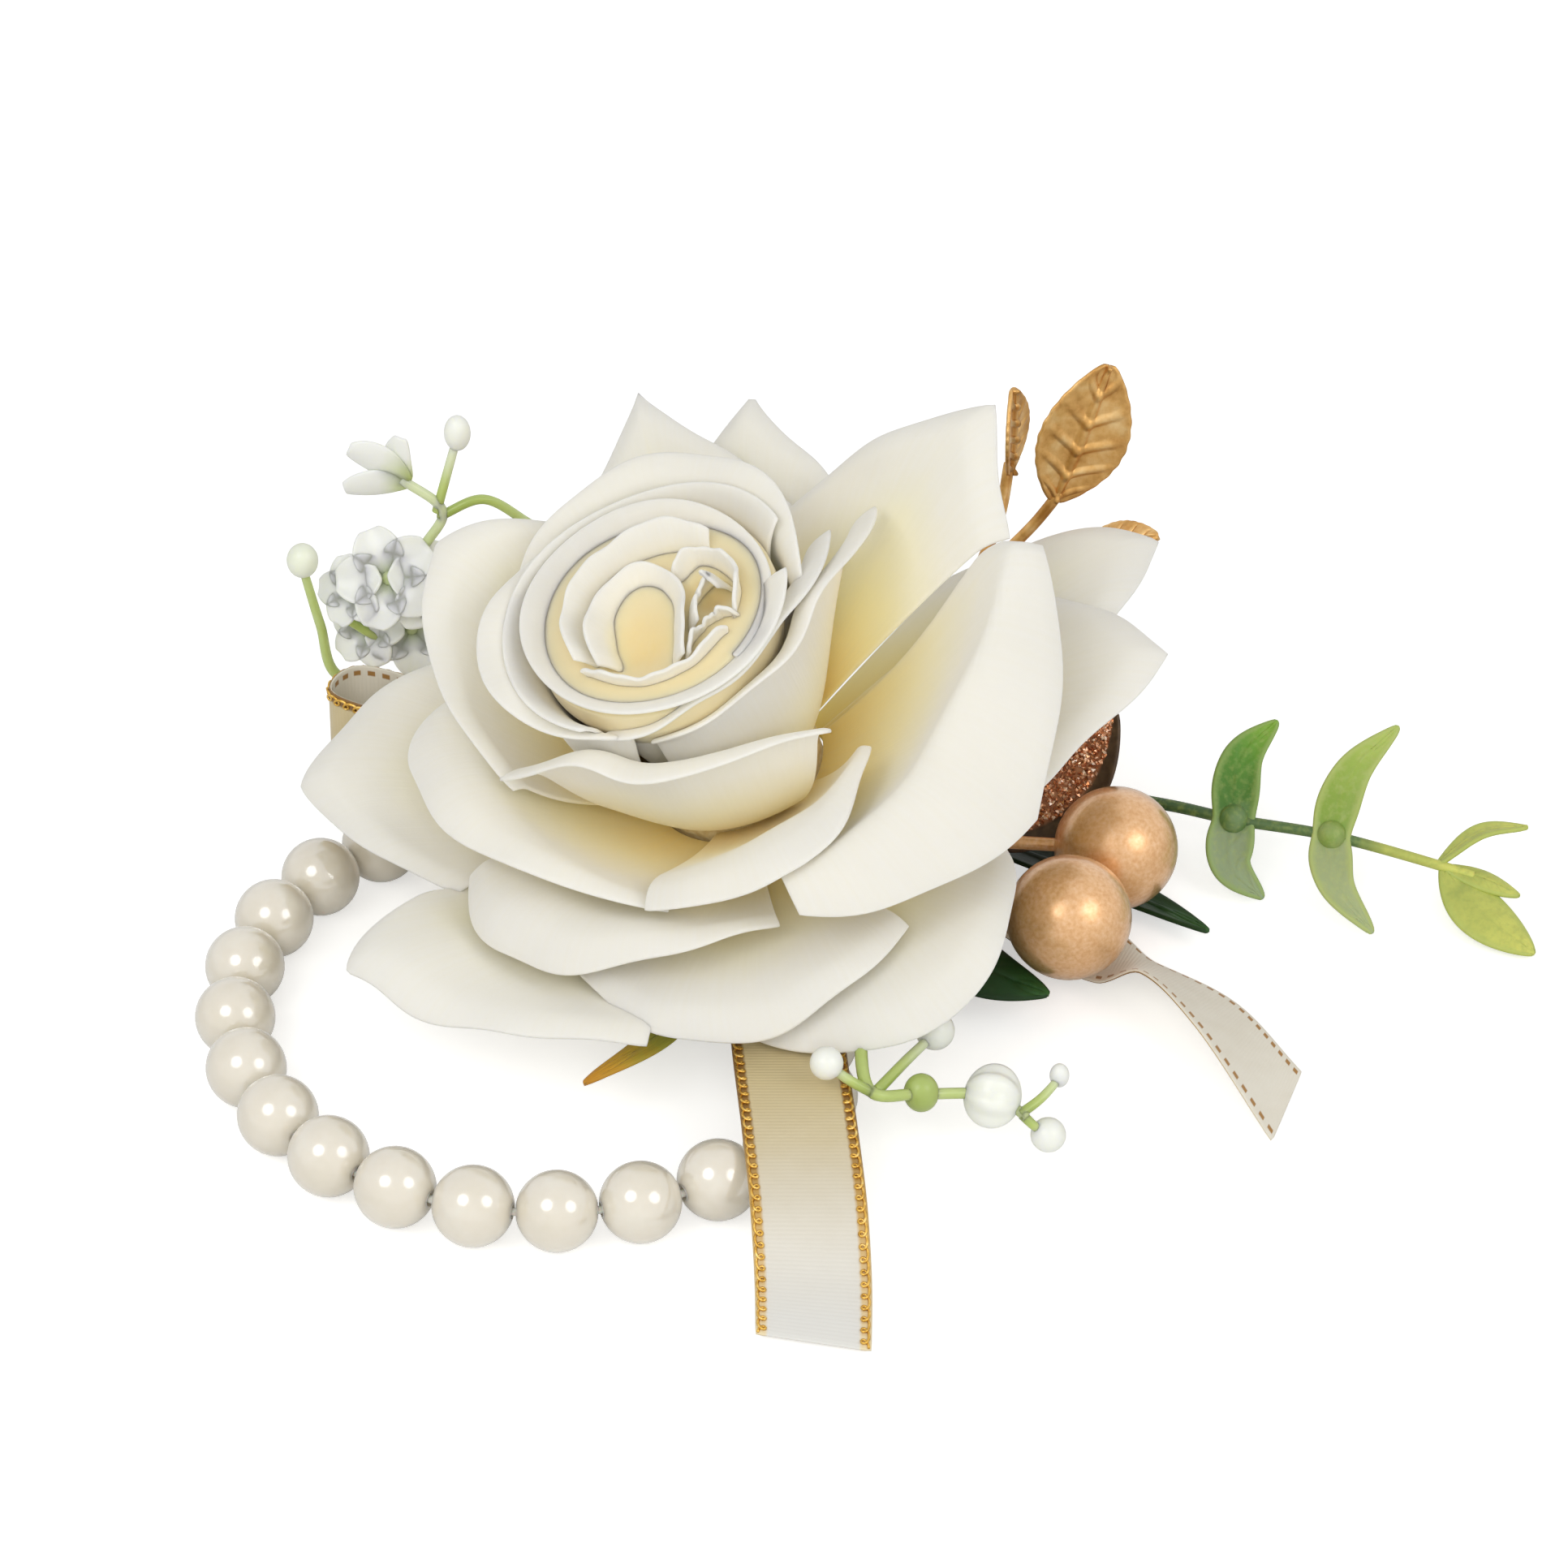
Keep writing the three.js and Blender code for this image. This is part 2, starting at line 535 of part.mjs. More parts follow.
// Gold leaf pick: one stem with three pressed leaves
function buildGoldLeaves() {
  const route = [[5, 8, rootHeight], [12, 17, 14], [19, 22.8, 21.5], [25.5, 25, 28.1], [28, 25.6, 31.5]];
  const stem = rod(route, stemDiameter);
  const sideStem = rod([[19, 22.8, 21.5], [22, 27.5, 27], [23, 30, 32]], stemDiameter);
  const lowStem = rod([[21.5, 24, 24], [27.4, 24, 25.6], [32, 22.8, 27]], stemDiameter);
  const half = goldLeafHalfWidth;
  const tall = leaf([[27.5, 25.5, 30.7], [30, 26.6, 37.5], [32.6, 28, 45]], [1, 0.15, -0.3], half);
  const edgeOn = leaf([[23, 29.8, 31], [23.2, 30.6, 35.5], [23.1, 31.2, 40]], [0.35, 1, 0], half * 0.75);
  const low = leaf([[30.2, 23.4, 26.4], [34, 22.6, 27.6], [37.6, 22, 28.6]], [0.1, 0.8, 0.5], half * 0.5);
  addPart(corsage, 'gold_leaf_pick', join(stem, sideStem, lowStem, tall, edgeOn, low), metalGold());
}

// Cupped leaf with a glitter face
function buildGlitterLeaf() {
  const midrib = [[15.5, 2.2, 8.4], [21.5, 4.7, 8.2], [27.8, 6.6, 11], [32.6, 9.2, 16.6]];
  const blade = leaf(midrib, [0.64, -0.46, -0.61], glitterHalfWidth, 8);
  const stem = rod([[10, 1.4, rootHeight], [13.6, 1.4, 8.4], [18, 3.2, 8.3]], stemDiameter);
  addPart(corsage, 'glitter_leaf', join(blade, stem), finish(0xb57a55, 0.5, 0.7));
}

// Eucalyptus: stem with its tip leaves, and leaf pairs threaded on it
function buildEucalyptus() {
  const route = [
    [8.6, 5.6, rootHeight + 0.2], [22, 10.4, 6.4], [38.5, 6.4, 6.6], [45.3, 3.9, 6.6], [55, 2, 6],
    [66.2, -0.9, 4.3], [69, -1.7, 3.8],
  ];
  const stem = rod(route, stemDiameter, 6, 4);
  const tips = [
    leaf([[65.5, -0.7, 4.4], [70, 2.2, 6.2], [74.5, 2.7, 6.5]], [0.3, -1, 0.2], 1.1),
    leaf([[66, -0.8, 4.3], [70, -2, 3.6], [73.4, -3.3, 2.6]], [0.2, 1, 0.1], 1.2),
    leaf([[66, -0.8, 4.2], [69.5, -5.5, 2.4], [74.3, -10.4, 0.9]], [1, 0.7, 0.2], 2.6),
  ];
  addPart(corsage, 'eucalyptus_stem', join(stem, ...tips), leafGreen());
  const hole = rod(route, stemDiameter + 2 * clearance, 8, 4);
  const collar = stemDiameter + 2 * clearance + 2 * collarWall;
  const pair = (midrib, halfWidth) => cut(
    join(leaf(midrib, [1, -0.2, -0.1], halfWidth, 8), ball(midrib[2], collar)),
    hole,
  );
  const first = pair(
    [[48, -1.8, 1.2], [45, 0.6, 3.4], [45.3, 3.9, 6.7], [46.2, 7.6, 11.4], [49.6, 10.3, 14]],
    eucalyptusHalfWidth,
  );
  addPart(corsage, 'eucalyptus_pair_inner', first, leafGreen());
  const second = pair(
    [[58.6, -7, 0.9], [55.2, -2.4, 3.4], [55, 2, 6.1], [57, 5.6, 11], [61.6, 8.7, 14.5]],
    eucalyptusHalfWidth * 0.9,
  );
  addPart(corsage, 'eucalyptus_pair_outer', second, leafGreen());
}

// Dark leaves that show under the right-hand side
function buildLeaves() {
  const rightMidrib = [
    [10.6, 4.2, 8.2], [13.6, 4.8, 7.8], [21, 5, 3.2], [32, 0, 1.5], [37, -3.6, 1.5], [42.1, -8.5, 2.2],
  ];
  const rightLeaf = leaf(rightMidrib, [-0.4, -1, 0.1], darkLeafHalfWidth * 0.65, 10);
  addPart(corsage, 'leaf_right', rightLeaf, finish(0x2f5a33, 0.5, 0));
  const frontMidrib = [[9, -7.2, 8.5], [11.6, -11, 7.8], [19.2, -17.8, 5.4], [25.8, -20.6, 4]];
  const frontLeaf = leaf(frontMidrib, [1, 0.8, 0.1], darkLeafHalfWidth, 8);
  addPart(corsage, 'leaf_front', frontLeaf, finish(0x27402c, 0.5, 0));
}

// Moulded sprays of small white flowers and buds
function buildLeftSpray() {
  const thin = stemDiameter * 0.8;
  const stem = [
    [-7.4, 8.4, rootHeight], [-22, 18.2, 9.6], [-35.6, 20.4, 11.6], [-45, 19, 13.4], [-46.6, 18.8, 20],
    [-48, 18.6, 27],
  ];
  addPart(corsage, 'flower_spray_left', join(
    rod(stem, stemDiameter),
    ball([-48, 18.6, 28], 3.2),
    rod([[-34.5, 20.3, 11.4], [-38, 20, 15], [-43.7, 19.4, 20]], thin),
    rod([[-34.5, 20.3, 11.4], [-34.6, 21.4, 20], [-36.5, 21.8, 26], [-34, 22, 31.6], [-38, 22.2, 35.4]], thin),
    rod([[-34.4, 22, 31], [-30, 23, 32.4], [-25.2, 24, 28.6]], thin),
    ball([-41.2, 22.4, 37.6], 3.2, [1.4, 0.8, 0.9]),
    ball([-40.6, 22.2, 35], 4, [1.5, 0.8, 0.8]),
    ball([-38.2, 22.6, 37.4], 2.4, [0.8, 0.8, 2.2]),
    rod([[-34.6, 22, 31.6], [-33.4, 22.6, 36], [-32.3, 23, 40]], thin),
    ball([-32.3, 23, 40.4], 3, [0.9, 0.8, 1.3]),
    ball([-39.5, 21, 24], 9, [1.2, 0.45, 0.8]),
    ball([-35.5, 21.2, 22.5], 8, [0.9, 0.45, 0.9]),
    ball([-43, 20.6, 22.6], 6, [0.9, 0.45, 0.9]),
  ), sprayGreen());
}

function buildFrontSpray() {
  const thin = stemDiameter * 0.8;
  const stem = [
    [6.9, -9, rootHeight], [7.2, -20, 9.8], [7.4, -33, 10.4], [8.5, -41.3, 8.8], [13.2, -39.6, 7.2],
    [20.4, -38.6, 6], [23.2, -40.4, 5],
  ];
  addPart(corsage, 'flower_spray_front', join(
    rod(stem, stemDiameter),
    rod([[8.5, -41.3, 8.8], [6.4, -41, 10], [4.3, -40.6, 11.6]], thin),
    ball([4.2, -40.5, 11.7], 3.2),
    rod([[9, -40.8, 8.6], [12.2, -36, 8.8], [14.6, -32.8, 9]], thin),
    ball([14.6, -32.6, 9.2], 3.8),
    ball([13.2, -39.2, 7], 3.4),
    ball([20.4, -38.2, 6], 5.6, [1.05, 0.9, 0.95], 12),
    rod([[22.6, -40.2, 5.2], [24.6, -38.6, 5.8], [26.4, -36.6, 6.6]], thin),
    ball([26.4, -36.4, 6.8], 2, [0.9, 0.9, 1.3]),
    rod([[22.8, -40.2, 5.1], [24, -40.6, 4], [25.2, -40.5, 3]], thin),
    ball([25.3, -40.4, 2.8], 3.4),
  ), sprayGreen());
}

buildPad();
buildBracelet();
buildRose();
buildRibbon();
buildBalls();
buildGoldLeaves();
buildGlitterLeaf();
buildEucalyptus();
buildLeaves();
buildLeftSpray();
buildFrontSpray();

export default corsage;
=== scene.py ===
import math
import bpy
import numpy as np
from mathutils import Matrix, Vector


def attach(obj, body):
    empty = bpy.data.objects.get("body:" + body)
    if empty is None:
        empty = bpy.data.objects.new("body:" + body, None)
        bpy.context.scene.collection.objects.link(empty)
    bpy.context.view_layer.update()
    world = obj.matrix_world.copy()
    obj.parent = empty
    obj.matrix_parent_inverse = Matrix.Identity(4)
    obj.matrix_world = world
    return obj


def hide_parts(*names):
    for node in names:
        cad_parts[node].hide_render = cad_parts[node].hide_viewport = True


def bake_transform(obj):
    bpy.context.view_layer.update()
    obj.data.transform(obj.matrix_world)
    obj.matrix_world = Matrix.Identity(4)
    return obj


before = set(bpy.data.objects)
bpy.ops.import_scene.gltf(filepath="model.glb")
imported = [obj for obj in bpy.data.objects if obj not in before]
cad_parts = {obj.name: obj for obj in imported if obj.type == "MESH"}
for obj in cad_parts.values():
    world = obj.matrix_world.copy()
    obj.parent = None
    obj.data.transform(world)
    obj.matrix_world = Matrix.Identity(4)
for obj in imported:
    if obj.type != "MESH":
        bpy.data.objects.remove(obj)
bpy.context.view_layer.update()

# Wrist corsage: cream rose, pearls, ribbon, gold and green trimmings.
# Shapes are in millimetres until they become a mesh.
mm = 0.001
nearZero = 1e-12
askew = (0.31, 0.83, 0.21)  # a direction that no turned form has as its axis
scene = bpy.context.scene
scene.view_settings.view_transform = "Standard"
print("frame loaded:", len(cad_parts), "nodes")


# Vector helpers

def unit(vectors):
    return vectors / np.maximum(np.linalg.norm(vectors, axis=-1, keepdims=True), nearZero)


def smoothStep(t):
    t = np.clip(t, 0, 1)
    return t * t * (3 - 2 * t)


def mix(pair, t):
    return pair[0] + (pair[1] - pair[0]) * t


# Grows by the square from 0 at a start to 1 at the end
def easeFrom(start, t):
    return np.maximum(0, (t - start) / (1 - start)) ** 2


def fullTurn(steps):
    return np.linspace(0, 2 * np.pi, steps, endpoint=False)


# Smooth curve through points: a cubic between each two, its slopes set by the root of the distances
def smoothCurve(points, share):
    p = np.asarray(points, float)
    ends = np.vstack([2 * p[0] - p[1], p, 2 * p[-1] - p[-2]])
    place = np.clip(share, 0, 1) * (len(p) - 1)
    k = np.minimum(place.astype(int), len(p) - 2)
    w = (place - k)[:, None]
    a, b, c, d = ends[k], ends[k + 1], ends[k + 2], ends[k + 3]
    shortest = 1e-3
    step = [np.maximum(np.linalg.norm(y - x, axis=1, keepdims=True) ** 0.5, shortest)
            for x, y in ((a, b), (b, c), (c, d))]
    leave = ((b - a) / step[0] - (c - a) / (step[0] + step[1]) + (c - b) / step[1]) * step[1]
    arrive = ((c - b) / step[1] - (d - b) / (step[1] + step[2]) + (d - c) / step[2]) * step[1]
    return (b * (2 * w ** 3 - 3 * w ** 2 + 1) + leave * (w ** 3 - 2 * w ** 2 + w)
            + c * (3 * w ** 2 - 2 * w ** 3) + arrive * (w ** 3 - w ** 2))


def evenCurve(points, steps):
    return smoothCurve(points, np.linspace(0, 1, steps))


def lengthAlong(path):
    return np.concatenate([[0], np.cumsum(np.linalg.norm(np.diff(path, axis=0), axis=1))])


# Shapes are (points, quads, triangles, place); place is three numbers for each point that the finishes read

noTriangles = np.zeros((0, 3), int)


def stackPlace(first, second, third):
    return np.stack(np.broadcast_arrays(first, second, third), -1)


def joinShapes(*shapes):
    starts = np.cumsum([0] + [len(s[0]) for s in shapes[:-1]])
    return (np.vstack([s[0] for s in shapes]),
            np.vstack([s[1] + n for s, n in zip(shapes, starts)]),
            np.vstack([s[2] + n for s, n in zip(shapes, starts)]),
            np.vstack([s[3] for s in shapes]))


# Closed skin about a sheet of points: front and back half a thickness off it, and a round edge between them.
# Place is (across, along, side), with side 0 on the front and 1 on the back.
def skin(points, across, along, thickness, edgeSteps=4):
    rows, columns = points.shape[:2]
    half = thickness / 2
    normal = unit(np.cross(np.gradient(points, axis=1), np.gradient(points, axis=0))).reshape(-1, 3)
    index = np.arange(rows * columns).reshape(rows, columns)
    loop = np.concatenate([index[0, :-1], index[:-1, -1], index[-1, :0:-1], index[:0:-1, 0]])
    flat = points.reshape(-1, 3)
    edge, edgeNormal = flat[loop], normal[loop]
    outward = unit(np.cross(np.roll(edge, -1, axis=0) - np.roll(edge, 1, axis=0), edgeNormal))
    turn = (np.pi / 2 - np.pi * np.arange(1, edgeSteps) / edgeSteps)[:, None, None]
    rings = edge + edgeNormal * (half * np.sin(turn)) + outward * (half * np.cos(turn))
    count, around = len(flat), len(loop)
    every = np.vstack([flat + normal * half, flat - normal * half, rings.reshape(-1, 3)])
    front = np.stack([index[:-1, :-1], index[:-1, 1:], index[1:, 1:], index[1:, :-1]], -1).reshape(-1, 4)
    between = 2 * count + np.arange((edgeSteps - 1) * around).reshape(-1, around)
    ring = np.vstack([loop, between, loop + count])
    after = np.roll(ring, -1, axis=1)
    rim = np.stack([ring[:-1], ring[1:], after[1:], after[:-1]], -1).reshape(-1, 4)
    frontPlace = stackPlace(across, along, 0.0).reshape(-1, 3)
    rimPlace = np.tile(frontPlace[loop], (edgeSteps - 1, 1))
    rimPlace[:, 2] = np.repeat(np.arange(1, edgeSteps) / edgeSteps, around)
    place = np.vstack([frontPlace, frontPlace + (0, 0, 1), rimPlace])
    return every, np.vstack([front, front[:, ::-1] + count, rim]), noTriangles, place


# Closed skin over a stack of rings, each ring a row of points; the ends close in a point
def ringSkin(rings, startPoint, endPoint, place):
    rows, columns = rings.shape[:2]
    index = np.arange(rows * columns).reshape(rows, columns)
    after = np.roll(index, -1, axis=1)
    quads = np.stack([index[:-1], index[1:], after[1:], after[:-1]], -1).reshape(-1, 4)
    first, last = rows * columns, rows * columns + 1
    triangles = np.vstack([np.c_[np.full(columns, first), index[0], after[0]],
                           np.c_[index[-1], np.full(columns, last), after[-1]]])
    places = np.broadcast_to(place, (rows, columns, 3)).reshape(-1, 3)
    return (np.vstack([rings.reshape(-1, 3), startPoint, endPoint]), quads, triangles,
            np.vstack([places, places[:1], places[-1:]]))


# Skin over rings that close both ways; no finish reads its place
def loopSkin(rings):
    rows, columns = rings.shape[:2]
    index = np.arange(rows * columns).reshape(rows, columns)
    down, after = np.roll(index, -1, axis=0), np.roll(index, -1, axis=1)
    quads = np.stack([index, down, np.roll(down, -1, axis=1), after], -1).reshape(-1, 4)
    return rings.reshape(-1, 3), quads, noTriangles, np.zeros((rows * columns, 3))


# Tube: circles of the given radii carried along a path. Place is (turn, along, 0).
def tube(path, radii, sides=10, up=(0, 0, 1)):
    radii = np.broadcast_to(radii, len(path))[:, None]
    along = unit(np.gradient(path, axis=0))
    side = unit(np.cross(along, up))
    over = np.cross(side, along)
    turn = fullTurn(sides)
    circle = np.cos(turn)[:, None] * side[:, None] + np.sin(turn)[:, None] * over[:, None]
    rings = path[:, None] + radii[..., None] * circle
    run = lengthAlong(path)
    cap = along * radii * 0.5
    place = stackPlace(turn / (2 * np.pi), (run / run[-1])[:, None], 0.0)
    return ringSkin(rings, path[0] - cap[0], path[-1] + cap[-1], place)


# Turned form: rings of radius and height about an axis through centre, with ribs where the radius waves.
# Place is (turn, height, tint).
def turned(profile, centre, axis=(0, 0, 1), sides=32, ribs=0, ribDepth=0.0, tint=0.0):
    radius, height = np.asarray(profile, float).T
    axis = unit(np.asarray(axis, float))
    side = unit(np.cross(axis, askew))
    over = np.cross(side, axis)
    turn = fullTurn(sides)
    circle = np.cos(turn)[:, None] * side + np.sin(turn)[:, None] * over
    wide = radius[:, None] * (1 + ribDepth * np.cos(ribs * turn)[None])
    rings = np.asarray(centre) + wide[..., None] * circle[None] + height[:, None, None] * axis
    share = (height - height[0]) / max(np.ptp(height), nearZero)
    place = stackPlace(turn / (2 * np.pi), share[:, None], tint)
    return ringSkin(rings, centre + axis * height[0], centre + axis * height[-1], place)


# Ball: a half circle turned about an axis
def ball(centre, radius, stretch=1.0, axis=(0, 0, 1), sides=32, tint=0.0, ribs=0, ribDepth=0.0):
    lean = np.linspace(0, np.pi, sides // 2 + 1)[1:-1]
    profile = np.c_[radius * np.sin(lean), -radius * stretch * np.cos(lean)]
    return turned(profile, np.asarray(centre, float), axis, sides, ribs, ribDepth, tint)


def putPiece(name, shape, finish, body="flower", stands=(), bend=None):
    points, quads, triangles, place = shape
    corners = np.concatenate([quads.ravel(), triangles.ravel()])
    sizes = np.concatenate([np.full(len(quads), 4), np.full(len(triangles), 3)])
    mesh = bpy.data.meshes.new(name)
    mesh.vertices.add(len(points))
    mesh.vertices.foreach_set("co", (points * mm).astype(np.float32).ravel())
    mesh.loops.add(len(corners))
    mesh.loops.foreach_set("vertex_index", corners.astype(np.int32))
    mesh.polygons.add(len(sizes))
    mesh.polygons.foreach_set("loop_start", np.concatenate([[0], np.cumsum(sizes)[:-1]]).astype(np.int32))
    mesh.update(calc_edges=True)
    mesh.validate()
    mesh.shade_smooth()
    stored = mesh.attributes.new("place", "FLOAT_VECTOR", "POINT")
    stored.data.foreach_set("vector", place.astype(np.float32).ravel())
    mesh.materials.append(finish.material)
    piece = bpy.data.objects.new(name, mesh)
    scene.collection.objects.link(piece)
    if bend:
        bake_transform(piece)
    else:
        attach(piece, body)
    if stands:
        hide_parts(*stands)
    return piece


# Finishes: the methods add nodes to one shader and give back the output to link on

def hexColour(code):
    channels = [int(code[i:i + 2], 16) / 255 for i in (0, 2, 4)]
    return [c / 12.92 if c <= 0.04045 else ((c + 0.055) / 1.055) ** 2.4 for c in channels] + [1.0]


class Finish:
    def __init__(self, owner, shader="Principled BSDF"):
        owner.use_nodes = True
        self.material = owner
        self.tree = owner.node_tree
        self.shader = self.tree.nodes[shader]

    def node(self, kind, inputs=None, **settings):
        made = self.tree.nodes.new("ShaderNode" + kind)
        for key, value in settings.items():
            setattr(made, key, value)
        for key, value in (inputs or {}).items():
            if isinstance(value, bpy.types.NodeSocket):
                self.tree.links.new(value, made.inputs[key])
            else:
                made.inputs[key].default_value = hexColour(value) if isinstance(value, str) else value
        return made

    def feed(self, socket, source):
        self.tree.links.new(source, self.shader.inputs[socket])

    def ramp(self, source, stops):
        made = self.node("ValToRGB", {"Fac": source})
        line = made.color_ramp.elements
        while len(line) < len(stops):
            line.new(0.5)
        for element, (position, colour) in zip(line, stops):
            element.position = position
            element.color = hexColour(colour)
        return made.outputs["Color"]

    # sockets 0, 6 and 7 of the node are its factor and its two colours
    def mixColour(self, factor, first, second):
        return self.node("Mix", {0: factor, 6: first, 7: second}, data_type="RGBA").outputs[2]

    def spread(self, source, low, high, newLow, newHigh):
        inputs = {"Value": source, "From Min": low, "From Max": high, "To Min": newLow, "To Max": newHigh}
        return self.node("MapRange", inputs).outputs["Result"]

    def combine(self, how, first, second=0.0):
        return self.node("Math", {0: first, 1: second}, operation=how).outputs[0]

    def wave(self, source, period):
        return self.combine("SINE", self.combine("MULTIPLY", source, 2 * math.pi / period))

    def noise(self, scale, detail=3.0, roughness=0.55, stretch=(1, 1, 1)):
        coords = self.node("TexCoord").outputs["Object"]
        stretched = self.node("Mapping", {"Vector": coords, "Scale": stretch}).outputs["Vector"]
        inputs = {"Vector": stretched, "Scale": scale, "Detail": detail, "Roughness": roughness}
        return self.node("TexNoise", inputs).outputs["Fac"]

    def readPlace(self):
        return self.node("Attribute", attribute_name="place").outputs["Vector"]

    def placeParts(self):
        return self.node("SeparateXYZ", {"Vector": self.readPlace()}).outputs

    def placeNoise(self, stretch):
        stretched = self.node("Mapping", {"Vector": self.readPlace(), "Scale": stretch}).outputs["Vector"]
        return self.node("TexNoise", {"Vector": stretched, "Scale": 1.0, "Detail": 2.0}).outputs["Fac"]

    def drift(self, source, scale, amount):
        return self.combine("ADD", source, self.spread(self.noise(scale), 0, 1, -amount, amount))

    def rough(self, source, low, high):
        self.feed("Roughness", self.spread(source, 0.3, 0.7, low, high))

    def bump(self, height, strength, depth):
        made = self.node("Bump", {"Height": height, "Strength": strength, "Distance": depth * mm})
        self.feed("Normal", made.outputs["Normal"])


socketNames = {
    "roughness": "Roughness", "metallic": "Metallic", "ior": "IOR", "specular": "Specular IOR Level",
    "coat": "Coat Weight", "coatRoughness": "Coat Roughness", "sheen": "Sheen Weight",
    "sheenRoughness": "Sheen Roughness", "subsurface": "Subsurface Weight", "anisotropic": "Anisotropic",
    "subsurfaceScale": "Subsurface Scale", "subsurfaceRadius": "Subsurface Radius"}


def newFinish(name, **sockets):
    finish = Finish(bpy.data.materials.new(name))
    for key, value in sockets.items():
        finish.shader.inputs[socketNames[key]].default_value = value
    return finish


# Mottled finish: one noise gives its colour and its bump
def mottled(name, noise, stops, strength, depth, **sockets):
    finish = newFinish(name, **sockets)
    clouds = finish.noise(*noise)
    finish.feed("Base Color", finish.ramp(clouds, stops))
    finish.bump(clouds, strength, depth)
    return finish


# Rose

roseSeat = {"origin": (-3.2, 0, 12.943), "tiltForward": 15.8, "tiltLeft": 17.5,
            "coreRadius": 9, "coreRise": 7}


def roseTurn():
    a, b = math.radians(roseSeat["tiltForward"]), -math.radians(roseSeat["tiltLeft"])
    forward = np.array([[1, 0, 0], [0, math.cos(a), -math.sin(a)], [0, math.sin(a), math.cos(a)]])
    sideways = np.array([[math.cos(b), 0, math.sin(b)], [0, 1, 0], [-math.sin(b), 0, math.cos(b)]])
    return forward @ sideways


# From the rose's own frame to the part's
def fromRose(local):
    return local @ roseTurn().T + np.array(roseSeat["origin"])


# Point at a distance from the rose's base, leaning from its axis and turned round it, in degrees
def rosePoint(reach, lean, turn):
    lean, turn = np.radians(lean), np.radians(turn)
    out = reach * np.sin(lean)
    return fromRose(np.stack([out * np.cos(turn), out * np.sin(turn), reach * np.cos(lean)], -1))


def coreReach(lean):
    return roseSeat["coreRadius"] + roseSeat["coreRise"] * np.cos(np.radians(lean)) ** 2


# turn, lean at base and tip, reach, half span at base and top, drop of the rim at both sides,
# sharpness and place of its peak, curl, flare at both sides, tuck
petalRows = [
    (78, (40, 25), 36.2, (62, 74), (0.12, 0.12), 3, 0, 3, (2, 2), 3),
    (188, (40, 23.5), 36, (54, 68), (0.14, 0.16), 2, 0, 4, (2, -4), 1),
    (330, (42, 23.5), 33.6, (58, 66), (0.14, 0.03), 1.6, 0.8, 3, (0, 20.5), 2),
    (266, (50.5, 27.3), 31.5, (42, 56), (0.04, 0.08), 2, -0.5, 4, (15, 9), 3),
    (165, (50, 38), 40, (42, 44), (0.2, 0.3), 1.2, -0.4, 4, (3, -2), 3),
    (46, (52, 51), 47, (30, 33), (0.15, 0.55), 0.95, -0.47, 2, (5, -4), 0),
    (217, (60, 47), 35, (38, 44), (0.1, 0.22), 1.8, -0.6, 7, (4, 7), 3),
    (294, (57, 49), 31.4, (32, 36), (0.06, 0.2), 1.6, 0, 6, (3.5, -2), 0),
    (331, (63, 53.5), 43, (40, 41), (0.25, 0.08), 1.0, 0.89, 19, (-2, 1), 0),
    (99, (60, 60), 43, (30, 30), (0.34, 0.34), 0.7, 0, 4, (7, 3), 3),
    (80, (69, 64), 41.5, (28, 30), (0.34, 0.34), 0.7, 0.1, 4, (3, 3), 3),
    (181, (70, 65), 44, (26, 27), (0.25, 0.28), 1.2, 0, 3, (3, -2), 3),
    (248, (70, 58), 35, (32, 36), (0.1, 0.24), 1.8, -0.5, 8, (5, 5), 3),
    (3, (76, 78), 45, (26, 27), (0.3, 0.3), 1.0, 0, 3, (5, 0), 3),
    (22, (84, 84), 48, (24, 24), (0.42, 0.34), 1.0, 0.2, 4, (4, 4), 3),
    (140, (70, 66), 33, (30, 32), (0.2, 0.2), 1.6, 0, 4, (3, 3), 3),
    (233, (80, 66), 47, (26, 26), (0.22, 0.2), 1.2, -0.6, 2, (4, 2), 3),
    (273, (78, 71), 37, (28, 33), (0.18, 0.16), 1.7, -0.1, 4, (-1, 3), 3),
    (305, (86, 80), 40, (26, 30), (0.14, 0.3), 1.8, -0.1, 4, (3, 3), 3),
]
